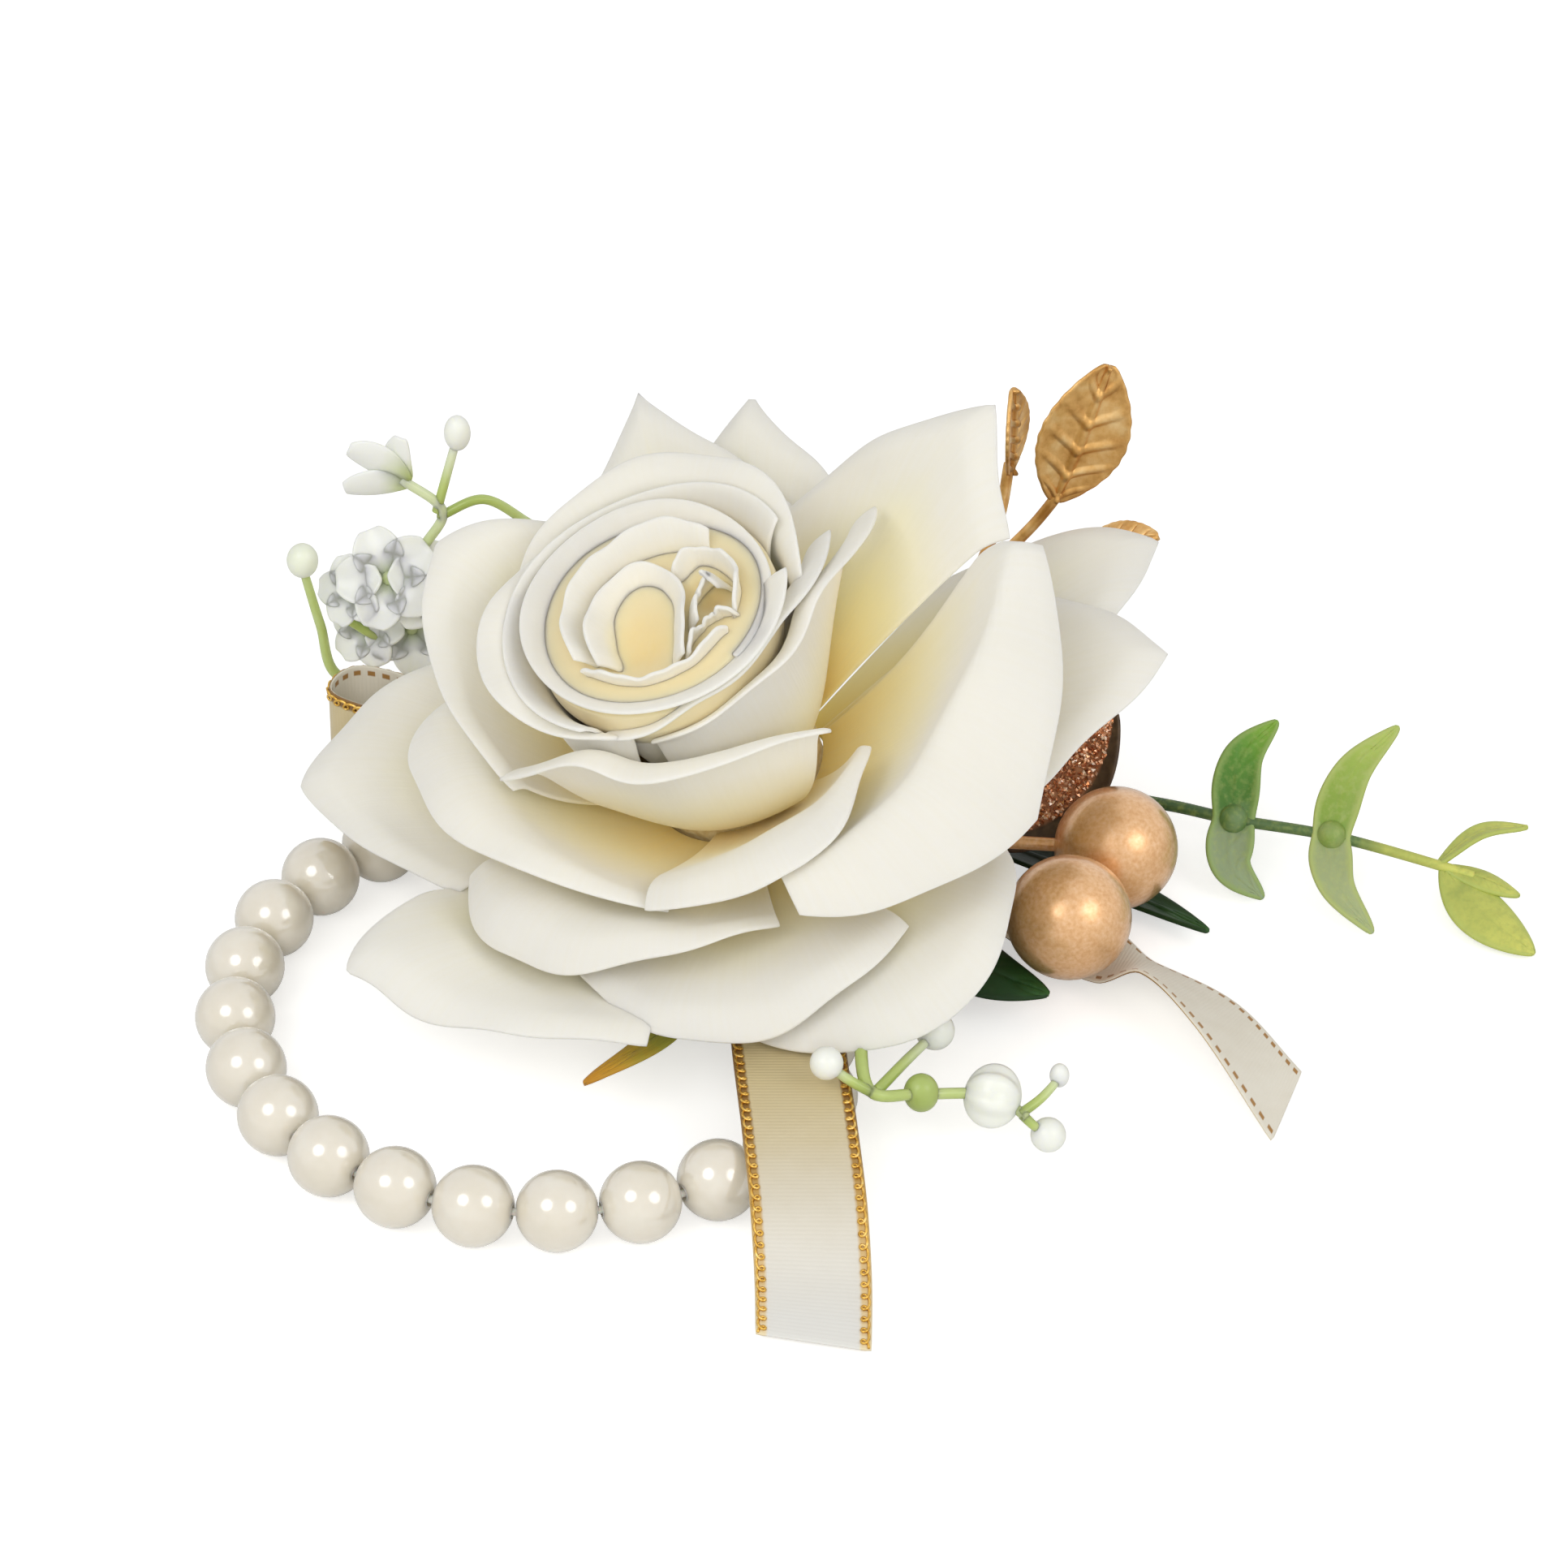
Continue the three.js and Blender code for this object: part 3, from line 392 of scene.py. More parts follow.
# petals whose margin turns down: where the curl starts in the middle and at the far side,
# how much it fades at both sides
petalFolds = {9: ((0.8, 0.98), (0.6, 1.0))}
wrapRow = (316, (30, 19), 33.8, (56, 72), (0.1, 0.04), 1.6, 0.3, 4, (5, 13), 0)
petalLook = {"thickness": 0.42, "columns": 72, "rows": 48, "rowSpacing": 0.7, "curlStart": 0.7,
             "flareStart": 0.3, "lipStart": 0.9, "lip": 1.6, "ripple": 0.7, "crumple": 0.25,
             "rimWave": 0.006, "seed": 7, "waves": (4.2, 9), "dents": ((5, 4), (-3, 7)), "rimWaves": 11}
budLook = {
    "thickness": 0.4, "columns": 160, "rows": 32, "ripple": 0.6, "curlStart": 0.72,
    # rolls round the axis: first turn, turns, lean of base and of tip and reach from start to end, curl
    "rolls": [(28, 0.6, (30, 33), (22.5, 24), (35, 34.2), 1.5),
              (318, 1.12, (25, 29), (15.5, 18.2), (33.2, 34.4), 5)],
    # waves of a ragged top: height, how many, how much of the roll's turn or the petal's top shifts them
    "rollRagged": [(0.45, 9, 1), (0.2, 23, 0)], "rollWaves": 13,
    "curlRagged": [(0.4, 7, 1), (0.22, 19, 3), (0.12, 41, 0)], "curlDrop": 1.1,
    # closed petals low in the heart: radius and height of their top, and their tint, yellow partly as painted
    # golden shade
    "filling": [(11.4, 24.5), (12.2, 27), (12.2, 29.6), (11, 30.6), (8.6, 30.8), (6.5, 31), (3, 31.2),
                (0.3, 31.2)],
    "fillingRings": 60, "fillingSides": 90, "fillingTintAndShade": 0.55,
    # their deep places, sunk and yellowed with painted golden shade: middle, radius, depth
    "hollows": [((-0.9, -4.2), 3.6, 2.4), ((6.2, 0.4), 2.4, 1.8)], "hollowPaintedShade": 0.3,
    # small petals of the heart: the line they stand on, their top, outward flare of the top
    "curlFoot": 27,
    "curls": [([(2.2, -7.2), (2.5, -3.6), (1.9, 0.4), (-0.8, 2.4), (-3.5, 0.2), (-4.2, -3.4), (-3.4, -6.2)],
               33.0, 1.5),
              ([(3.9, -3.8), (4.3, -0.4), (6.0, 1.8), (7.8, 0.8)], 33.3, 1.3),
              ([(3.0, 2.2), (4.8, 3.9), (7.2, 3.0), (8.7, 0.4), (8.2, -3)], 33.0, -0.6),
              ([(-5.4, -5.6), (-6.6, -1.5), (-5.6, 2.6), (-2.4, 5.4), (2.2, 6.3), (5.6, 5.2)], 33.5, -1.6),
              ([(-6.2, -6.4), (-3.2, -8.2), (0.6, -8.8), (4.4, -7.6), (7.4, -4.6)], 32.5, 0.6),
              ([(3.4, -6.8), (4.6, -4.4), (6.4, -2.9), (8.6, -2.6)], 32.8, 1.0)]}


# A petal's distance runs from its base to a rim that drops from its peak to the sides; its lean goes from
# base to tip, curls out near the rim, flares at the sides, rolls over in a small lip and ripples a little
def petalSurface(row, number):
    turn, lean, reach, span, drop, sharp, peak, curl, flare, tuck = row
    phase = np.random.default_rng(petalLook["seed"] + number).uniform(0, 2 * np.pi, 5)
    across = np.linspace(-1, 1, petalLook["columns"] + 1)[None]
    v = np.linspace(0, 1, petalLook["rows"] + 1)[:, None] ** petalLook["rowSpacing"]
    away = np.where(across < peak, (peak - across) / (1 + peak), (across - peak) / (1 - peak))
    rim = reach * (1 - np.where(across < peak, *drop) * away ** sharp)
    start = coreReach(lean[0])
    far = start + (rim - start) * v
    share = (far - start) / (reach - start)
    if number in petalFolds:
        folds, fades = petalFolds[number]
        fold = mix(folds, np.maximum(0, across))
        curl = curl * (1 - np.where(across < 0, *fades) * abs(across)) * easeFrom(fold, v)
    else:
        curl = curl * easeFrom(petalLook["curlStart"], share)
    slow, quick = petalLook["waves"]
    waves = np.sin(slow * across + phase[0]) + 0.5 * np.sin(quick * across + phase[1])
    dents = sum(np.sin(a * across + b * v + p) for (a, b), p in zip(petalLook["dents"], phase[2:4]))
    bent = mix(lean, smoothStep(share)) + curl + tuck * across
    bent = bent + np.where(across < 0, *flare) * easeFrom(petalLook["flareStart"], abs(across)) * share
    bent = bent + petalLook["lip"] * easeFrom(petalLook["lipStart"], v)
    bent = bent + petalLook["ripple"] * v ** 4 * waves + petalLook["crumple"] * v * dents
    far = far * (1 + petalLook["rimWave"] * v ** 3 * np.sin(petalLook["rimWaves"] * across + phase[4]))
    return rosePoint(far, bent, turn + across * mix(span, v)), across, v


# A roll of the bud is a strip wound round the axis, its lean and reach growing from its start to its end;
# its rim curls out
def rollSurface(turn, turns, base, tip, reach, curl):
    u = np.linspace(0, 1, budLook["columns"] + 1)[None]
    v = np.linspace(0, 1, budLook["rows"] + 1)[:, None]
    leanBase = mix(base, u)
    start = coreReach(leanBase)
    top = sum((high * np.sin(many * turns * u + shift * turn) for high, many, shift in budLook["rollRagged"]),
              mix(reach, u))
    lean = mix((leanBase, mix(tip, u)), smoothStep(v)) + curl * easeFrom(budLook["curlStart"], v)
    lean = lean + budLook["ripple"] * v ** 4 * np.sin(budLook["rollWaves"] * turns * u + 1)
    return rosePoint(start + (top - start) * v, lean, turn + 360 * turns * u), u * 2 - 1, v


# A small petal of the heart stands on a smooth line, leans out as it rises and ends in a ragged top
def curlSurface(line, top, flare):
    u = np.linspace(0, 1, budLook["columns"] // 2 + 1)
    v = np.linspace(0, 1, budLook["rows"] + 1)[:, None]
    foot = budLook["curlFoot"]
    track = smoothCurve(line, u)
    along = unit(np.gradient(track, axis=0))
    outward = np.stack([along[:, 1], -along[:, 0]], -1) * flare
    flat = track[None] + outward[None] * (v ** 3 - 0.5 * (1 - v))[..., None]
    ragged = sum(high * np.sin(many * u + shift * top) for high, many, shift in budLook["curlRagged"])
    rise = foot + (top - foot + ragged - budLook["curlDrop"] * (2 * u - 1) ** 6) * v
    return fromRose(np.concatenate([flat, rise[..., None]], -1)), 2 * u - 1, v


# Filling of the heart: a turned form, sunk at its deep places by bell curves that also yellow its tint as
# painted golden shade
def heartFilling():
    profile = np.array(budLook["filling"])
    share = np.linspace(0, len(profile) - 1, budLook["fillingRings"])
    fine = np.stack([np.interp(share, np.arange(len(profile)), profile[:, k]) for k in (0, 1)], -1)
    points, quads, triangles, place = turned(fine, np.zeros(3), sides=budLook["fillingSides"])
    tint = np.full(len(points), budLook["fillingTintAndShade"])
    for middle, radius, depth in budLook["hollows"]:
        bell = np.exp(-np.sum((points[:, :2] - middle) ** 2, axis=1) / radius ** 2)
        points[:, 2] -= depth * bell
        # painted golden shade: the deep places are yellowed
        tint -= budLook["hollowPaintedShade"] * bell
    return fromRose(points), quads, triangles, stackPlace(place[:, 0], tint, 2.0)


cream = newFinish("petalCream", sheen=0.25, sheenRoughness=0.6, specular=0.2, subsurface=0.8,
                  subsurfaceScale=1 * mm, subsurfaceRadius=(1.0, 1.0, 0.9))
parts = cream.placeParts()
drift = cream.drift(parts["Y"], 90, 0.12)
drift = cream.combine("ADD", drift, cream.spread(parts["Z"], 0, 1, 0.12, 0))  # outer faces are whiter
# painted golden shade: the ramp runs yellower towards each petal's base, partly the petals' own colour and
# partly shade in the folds; outer faces are lifted towards white, so they carry less of it
creamAndFoldShadeStops = [(0, "ffdd85"), (0.35, "ffebb4"), (0.6, "fcf1d2"), (0.8, "f6f1e2"), (1, "f0ede3")]
# painted shade: the filling deep in the heart is mixed towards a darker tan
heart = cream.spread(parts["Z"], 1.2, 1.8, 0, 0.6)
tinted = cream.mixColour(heart, cream.ramp(drift, creamAndFoldShadeStops), "e6d4a2")
veins = cream.placeNoise((34, 2.2, 0))
cream.feed("Base Color", cream.mixColour(cream.spread(veins, 0.35, 0.7, 0.0, 0.1), tinted, "eee4c2"))
grain = cream.noise(2600, 2.0)
relief = cream.combine("ADD", cream.spread(veins, 0, 1, 0, 0.7), cream.spread(grain, 0, 1, 0, 0.3))
cream.bump(relief, 0.15, 0.2)
cream.rough(grain, 0.52, 0.72)

for number, row in enumerate(petalRows, 1):
    name = f"petal_{number:02d}"
    petal = skin(*petalSurface(row, number), petalLook["thickness"])
    putPiece("cream_" + name, petal, cream, stands=[name])
budSurfaces = [rollSurface(*roll) for roll in budLook["rolls"]]
budSurfaces += [curlSurface(*curl) for curl in budLook["curls"]]
budSurfaces.append(petalSurface(wrapRow, len(petalRows) + 1))
bud = joinShapes(heartFilling(), *[skin(*surface, budLook["thickness"]) for surface in budSurfaces])
putPiece("cream_bud", bud, cream, stands=["bud_roll"])
print("rose:", len(petalRows), "petals and the rolled bud")


# Calyx

calyxLook = {"cup": [(3, -4.85), (3.6, -4.5), (4.8, -2.6), (5.9, -0.9), (5.6, -0.6)],
             "sepals": [(20, 16), (82, 16), (140, 14), (326, 16)],
             "start": 3.6, "lean": 104, "bend": 6, "hollow": 2, "half": 2.2, "thickness": 0.5,
             "point": 0.06, "bulge": (0.25, 0.73), "tintEnd": 0.55, "cupTint": 0.2,
             "route": [(-3.4, -3.6, 9.4), (-8.6, -11, 8.9), (-9.8, -20, 8.2), (-11, -29, 7),
                       (-18.7, -36, 5.6)]}


# A short sepal lies on the rose's underside: distance along it, narrowing to a point
def sepalShape(turn, length):
    across = np.linspace(-1, 1, 13)[None]
    v = np.linspace(0, 1, 31)[:, None]
    first, growth = calyxLook["bulge"]
    point = calyxLook["point"]
    half = calyxLook["half"] * (point + (1 - point) * np.sin(np.pi * (first + growth * v)))
    reach = mix((calyxLook["start"], length), v)
    lean = calyxLook["lean"] + calyxLook["bend"] * (1 - v) + calyxLook["hollow"] * across ** 2
    points = rosePoint(reach + 0 * across, lean, turn + across * np.degrees(half / reach))
    return skin(points, across, calyxLook["tintEnd"] * v, calyxLook["thickness"])


leafLook = {"fullness": 0.8, "waistSpan": 0.09, "waveShift": 2.1, "veinSlant": 0.16, "midribSpan": 0.1,
            "sideVein": 0.8}


# Leaf: a blade across a smooth midrib, widest in the middle, cupped, with pressed veins and a wavy edge.
# Place is (across, along, side); veins run slantwise from the midrib to the edge.
def leafSurface(midrib, sideways, half, rows=60, columns=28, cup=0.18, ends=0.12, vein=0.0, veinCount=6,
                wave=0.0, waist=0.0):
    v = np.linspace(0, 1, rows + 1)
    path = smoothCurve(midrib, v)
    along = unit(np.gradient(path, axis=0))
    normal = unit(np.cross(along, unit(np.asarray(sideways, float))))
    blade = np.cross(normal, along)
    share = np.linspace(-1, 1, columns + 1)
    wide = half * (ends + (1 - ends) * np.sin(np.pi * v) ** leafLook["fullness"])
    wide = wide * (1 - waist * np.exp(-((v - 0.5) / leafLook["waistSpan"]) ** 2))
    ripple = np.sin(veinCount * 4 * np.pi * v[:, None] + leafLook["waveShift"] * np.sign(share))
    wide = wide[:, None] * (1 + wave * ripple)
    slant = v[:, None] - leafLook["veinSlant"] * abs(share)
    sideVeins = np.clip(np.cos(2 * np.pi * veinCount * slant), 0, 1) ** 3 * (1 - share ** 2)
    pressed = np.exp(-(share[None] / leafLook["midribSpan"]) ** 2) + leafLook["sideVein"] * sideVeins
    rise = -cup * wide * share ** 2 - vein * pressed
    points = path[:, None] + blade[:, None] * (wide * share)[..., None] + normal[:, None] * rise[..., None]
    return points, share, v[:, None]


def leafShape(midrib, sideways, half, thickness=0.5, **shape):
    return skin(*leafSurface(midrib, sideways, half, **shape), thickness)


cup, cupQuads, cupTriangles, cupPlace = turned(calyxLook["cup"], np.zeros(3), sides=40)
cupShape = (fromRose(cup), cupQuads, cupTriangles, cupPlace * (1, calyxLook["cupTint"], 1))
longSepal = leafShape(calyxLook["route"], (1, -0.5, 0), calyxLook["half"] * 0.9, ends=0.05, vein=0.12)
calyx = newFinish("calyxGreen", roughness=0.5, sheen=0.15, specular=0.4)
drift = calyx.drift(calyx.placeParts()["Y"], 350, 0.08)
calyxStops = [(0, "5c6b2c"), (0.55, "8b9a38"), (0.82, "aca63a"), (0.92, "cf9a26"), (1, "d48d1c")]
tinted = calyx.ramp(drift, calyxStops)
veins = calyx.placeNoise((9, 3, 0))
calyx.feed("Base Color", calyx.mixColour(calyx.spread(veins, 0.3, 0.7, 0, 0.3), tinted, "6a7230"))
calyx.bump(veins, 0.3, 0.2)
leaves = joinShapes(cupShape, longSepal, *[sepalShape(*sepal) for sepal in calyxLook["sepals"]])
putPiece("calyx_leaves", leaves, calyx, stands=["rose_calyx"])
print("calyx: cup, four short sepals and the long one")


# Bracelet

braceletLook = {"start": (3.6, -14, 4.0), "pitch": 7.95, "radius": 3.9, "bore": 0.7, "sides": 48,
                "arcSteps": 30, "elasticRadius": 0.4, "elasticSteps": 12, "elasticSides": 12}
linkHeadings = [90, 167, -170, -163, -156, -150] + [-144 + 14.6 * k for k in range(14)] + [66.6, 87.4, 93, 94]
linkLengths = [28, 11.4] + [braceletLook["pitch"]] * 18 + [0.6] + [braceletLook["pitch"]] * 3
pearlLinks = list(range(2, 20)) + [21, 22, 23]
headings = np.radians(linkHeadings)
stepsAlong = np.array(linkLengths)[:, None] * np.stack([np.cos(headings), np.sin(headings), 0 * headings], -1)
cordCorners = np.array(braceletLook["start"]) + np.vstack([np.zeros(3), np.cumsum(stepsAlong, axis=0)])


# Pearl: a circle's arc from one mouth of the bore to the other, closed by the bore, turned about the cord
def pearlShape(centre, heading):
    bore, outer = braceletLook["bore"], braceletLook["radius"]
    mouth = math.asin(bore / outer)
    arc = np.linspace(mouth, np.pi - mouth, braceletLook["arcSteps"] + 1)
    radius = np.concatenate([outer * np.sin(arc), [bore] * 3])
    height = np.concatenate([-outer * np.cos(arc), outer * math.cos(mouth) * np.array([0.5, 0, -0.5])])
    axis = np.array([math.cos(heading), math.sin(heading), 0])
    side, over = np.array([-axis[1], axis[0], 0]), np.array([0, 0, 1])
    turn = fullTurn(braceletLook["sides"])[:, None]
    circle = np.cos(turn) * over + np.sin(turn) * side
    return loopSkin(centre + radius[:, None, None] * circle + height[:, None, None] * axis)


ivory = newFinish("pearlIvory", coat=1.0, coatRoughness=0.06, sheen=0.5, sheenRoughness=0.35, ior=2.3,
                  subsurface=0.6, subsurfaceScale=2 * mm, subsurfaceRadius=(1, 0.95, 0.85))
ivory.feed("Base Color", ivory.ramp(ivory.noise(260), [(0.25, "dfd7c3"), (0.5, "e4dccb"), (0.75, "e8e2d3")]))
ivory.rough(ivory.noise(1200), 0.17, 0.2)
ivory.bump(ivory.noise(900, 2.0), 0.03, 0.1)
for number, link in enumerate(pearlLinks, 1):
    name = f"pearl_{number:02d}"
    pearl = pearlShape((cordCorners[link] + cordCorners[link + 1]) / 2, headings[link])
    putPiece("ivory_" + name, pearl, ivory, body=name, stands=[name])


# Elastic: a round cord along the closed row of links, its corners eased by a running mean
def elasticShape():
    ends = np.roll(cordCorners, -1, axis=0)
    t = np.linspace(0, 1, braceletLook["elasticSteps"], endpoint=False)[:, None, None]
    path = (cordCorners + (ends - cordCorners) * t).transpose(1, 0, 2).reshape(-1, 3)
    path = (np.roll(path, 1, axis=0) + 2 * path + np.roll(path, -1, axis=0)) / 4
    along = unit(np.roll(path, -1, axis=0) - np.roll(path, 1, axis=0))
    side = np.cross(along, (0, 0, 1))
    turn = fullTurn(braceletLook["elasticSides"])[:, None]
    circle = np.cos(turn) * side[:, None] + np.sin(turn) * np.array([0, 0, 1])
    return loopSkin(path[:, None] + braceletLook["elasticRadius"] * circle)


elastic = mottled("elasticClear", (1500, 2.0), [(0.3, "d8d3c4"), (0.7, "f1eee4")], 0.3, 0.08,
                  roughness=0.3, specular=0.5, subsurface=0.3, subsurfaceScale=0.5 * mm)
putPiece("elastic_thread", elasticShape(), elastic, body="bracelet", stands=["elastic_cord"])
print("bracelet:", len(pearlLinks), "pearls on the elastic")


# Pad under the flower

padLook = {"radius": 13.5, "height": 3.0, "edge": 0.7, "middle": 0.6, "faceRings": 13, "edgeRings": 7,
           "sides": 96}


# Felt: a flat disc with rounded edges
def feltShape():
    t = np.linspace(0, np.pi / 2, padLook["edgeRings"])
    edge, high = padLook["edge"], padLook["height"]
    flat = padLook["radius"] - edge
    inner = np.linspace(padLook["middle"], flat, padLook["faceRings"] + 1)[:-1]
    under = np.c_[inner, 0 * inner]
    foot = np.c_[flat + edge * np.sin(t), edge - edge * np.cos(t)]
    head = np.c_[flat + edge * np.cos(t), high - edge + edge * np.sin(t)]
    over = np.c_[inner[::-1], 0 * inner + high]
    return turned(np.vstack([under, foot, head, over]), np.zeros(3), sides=padLook["sides"])


feltStops = [(0.3, "d6d0be"), (0.55, "e6e1d3"), (0.75, "f0ecdf")]
feltCream = mottled("feltCream", (900, 5.0, 0.7, (1, 3, 1)), feltStops, 0.8, 0.4,
                    roughness=0.95, sheen=0.6, sheenRoughness=0.5, specular=0.1)
felt = putPiece("felt_pad", feltShape(), feltCream, stands=["felt_backing"])

card = mottled("cardWhite", (700, 4.0), [(0.3, "e6e2d6"), (0.7, "f4f1e8")], 0.3, 0.1, roughness=0.8)
foam = mottled("foamCream", (1400, 3.0), [(0.3, "d9c48a"), (0.7, "efe2b8")], 0.6, 0.2, roughness=0.9)
for node, finish in (("base_disc", card), ("rose_core", foam)):
    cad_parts[node].data.materials.clear()
    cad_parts[node].data.materials.append(finish.material)
print("pad: felt, card disc and foam heart")


# Ribbon

ribbonLook = {"width": 10.6, "linkWidth": 10, "thickness": 0.32, "stepsPerMm": 1.6, "columns": 24,
              "roughSteps": 300, "threadSteps": 400, "loopSteps": 16, "edgePitch": 1.15, "edgeWide": 0.36,
              "edgeOverlap": 0.42, "edgeInset": 0.45, "threadRadius": 0.14, "threadLift": 0.26,
              "threadRise": 0.1}
frontStations = [  # centre, direction across, width
    ((0, -4, 7.55), (1, 0, 0), 4), ((0, -10, 8.45), (1, 0, 0), 8.48), ((0, -18, 8.45), (1, 0, 0), 10.6),
    ((0.5, -32, 8.45), (1, 0, 0), 10.6), ((1.7, -46.5, 8.45), (1, 0, 0), 10.6),
    ((2.5, -55, 6.4), (1, 0, 0), 10.6),
    ((2.9, -61, 2.4), (1, -0.08, 0), 10.6), ((2.9, -67.2, 0.7), (1, -0.22, 0), 10.6)]
rightStations = [
    ((0, -5.2, 7.55), (0, 1, 0), 3), ((8, -3.2, 7.55), (0, 1, 0), 3), ((13, -3, 7.55), (0, 1, 0), 3),
    ((20, -5, 3.2), (0, 1, -0.1), 7), ((27, -8.4, 1.2), (0.2, 1, -0.1), 9),
    ((32, -12, 1.7), (0.25, 1, -0.15), 10), ((36, -15.8, 3.3), (0.2, 0.8, -0.55), 10.6),
    ((42, -22.8, 3.3), (0.4, 0.85, -0.4), 10.6), ((48.4, -33.7, 0.8), (0.32, 0.95, 0), 10.6)]
loopStations = [
    ((-11.5, 2.6, 9.8), (0, 0, 1), 3.6), ((-25, 4, 10.8), (0, 0.1, 1), 4.4),
    ((-38.7, 6.2, 13.2), (0, 0.1, 1), 8.8), ((-45.2, 10.4, 13.2), (0, 0.1, 1), 8.8),
    ((-43, 14.6, 13), (0, 0.1, 1), 8.8), ((-25, 11, 10.8), (0, 0.1, 1), 4.4),
    ((-11.5, 5.6, 9.8), (0, 0, 1), 3.6)]
linkStations = [
    ((-12.2, 4.1, 8.5), (0, 1, 0), 4.2), ((-8.8, 0.6, 7.9), (0.7, 0.7, 0), 3),
    ((-5, -3.6, 7.55), (0.6, 0.8, 0), 3), ((1, -5.4, 7.55), (0, 1, 0), 3)]


# Ribbon: a straight line across, carried along a smooth row of stations
def ribbonSurface(stations, share):
    centre = smoothCurve([s[0] for s in stations], share)
    sides = smoothCurve([unit(np.array(s[1], float)) * s[2] / 2 for s in stations], share)
    return centre, sides


def ribbonRows(stations):
    share = np.linspace(0, 1, ribbonLook["roughSteps"])
    rough = lengthAlong(ribbonSurface(stations, share)[0])
    wanted = np.linspace(0, rough[-1], int(rough[-1] * ribbonLook["stepsPerMm"]) + 2)
    return np.interp(wanted, rough, share), wanted


# Place is (mm from the nearest long edge, mm along, side)
def ribbonShape(stations, faceUp):
    share, run = ribbonRows(stations)
    centre, sides = ribbonSurface(stations, share)
    across = np.linspace(-1, 1, ribbonLook["columns"] + 1)
    points = centre[:, None] + sides[:, None] * across[:, None]
    wide = np.linalg.norm(sides, axis=1)
    made = skin(points, wide[:, None] * across, run[:, None], ribbonLook["thickness"])
    place = made[3]
    place[:, 2] = place[:, 2] if faceUp else 1 - place[:, 2]
    place[:, 0] = np.interp(place[:, 1], run, wide) - abs(place[:, 0])
    area = float(np.sum((wide[1:] + wide[:-1]) * np.diff(run)))
    return made, area, run[-1]


# Edge thread: loops laid one after another along an edge, each a circle drawn out along the ribbon
def edgeThread(stations, edge, lift):
    share, run = ribbonRows(stations)
    total = run[-1]
    pitch = ribbonLook["edgePitch"]
    loops = int(total / pitch)
    phase = np.linspace(0, 2 * np.pi * loops, loops * ribbonLook["loopSteps"] + 1)
    where = np.clip(total * phase / phase[-1] + ribbonLook["edgeOverlap"] * pitch * np.sin(phase), 0, total)
    at = np.interp(where, run, share)
    centre, sides = ribbonSurface(stations, at)
    fine = np.linspace(0, 1, ribbonLook["threadSteps"])
    along = unit(np.gradient(smoothCurve([s[0] for s in stations], fine), axis=0))
    along = unit(np.stack([np.interp(at, fine, along[:, k]) for k in range(3)], -1))
    out = unit(sides) * edge
    normal = unit(np.cross(sides, along)) * lift
    wide = np.linalg.norm(sides, axis=1, keepdims=True)
    wave = ribbonLook["edgeWide"] * np.cos(phase)[:, None]
    rise = ribbonLook["threadLift"] + ribbonLook["threadRise"] * np.sin(phase)[:, None]
    path = centre + out * (wide - ribbonLook["edgeInset"] + wave) + normal * rise
    return tube(path, ribbonLook["threadRadius"], sides=6, up=unit(normal.mean(axis=0)))


satin = newFinish("satinIvory", sheen=0.3, sheenRoughness=0.35, specular=0.5, anisotropic=0.4)
parts = satin.placeParts()
fromEdge, along, side = parts["X"], parts["Y"], parts["Z"]
reverse = satin.spread(side, 0.45, 0.55, 0, 1)
ribs = satin.wave(along, 0.42)
cloudy = satin.noise(300)
wovenAndPaintedLight = satin.mixColour(satin.spread(ribs, -1, 1, 0, 0.18), "ddd4be", "cec1a6")
wovenAndPaintedLight = satin.mixColour(satin.spread(cloudy, 0.3, 0.7, 0, 0.3), wovenAndPaintedLight, "c9ba98")
# painted shadow and reflection: near its root the ribbon is darker and yellower, where the rose shades it and
# its petals reflect
wovenAndPaintedLight = satin.mixColour(satin.spread(along, 36, 56, 0.7, 0), wovenAndPaintedLight, "cfba80")
# painted light: the far end of the ribbon is paler and whiter, as where it lies lit
wovenAndPaintedLight = satin.mixColour(satin.spread(along, 44, 63, 0, 0.9), wovenAndPaintedLight, "e4e3de")
matte = satin.mixColour(satin.spread(cloudy, 0.3, 0.7, 0, 0.4), "eae4d5", "ddd4c0")
face = satin.mixColour(reverse, wovenAndPaintedLight, matte)
# the gold selvedge band is its own gold with painted shade and light: dark brown near the root, pale gold at
# the far end
bandWithPaintedShade = satin.ramp(satin.spread(along, 12, 66, 0, 1),
                  [(0, "6e4c22"), (0.55, "8f6a34"), (0.75, "cda861"), (1, "ecdcb4")])
selvedge = satin.spread(fromEdge, 0.75, 1.05, 1, 0)
frontBand = satin.combine("MULTIPLY", selvedge, satin.combine("SUBTRACT", 1.0, reverse))
backDash = satin.spread(satin.wave(along, 1.5), -0.2, 0.1, 0, 1)
for limits in ((0.25, 0.4, 0, 1), (0.8, 0.95, 1, 0)):
    backDash = satin.combine("MULTIPLY", backDash, satin.spread(fromEdge, *limits))
backDash = satin.combine("MULTIPLY", backDash, reverse)
satin.feed("Base Color", satin.mixColour(backDash, satin.mixColour(frontBand, face, bandWithPaintedShade), "a87c44"))
satin.feed("Roughness", satin.spread(reverse, 0, 1, 0.36, 0.7))
satin.bump(ribs, 0.14, 0.06)

thread = newFinish("goldThread", metallic=0.9)
glints = thread.noise(1500, 2.0)
thread.feed("Base Color", thread.ramp(glints, [(0.3, "c0903c"), (0.55, "e6ba5c"), (0.75, "f7dc94")]))
thread.rough(glints, 0.25, 0.42)

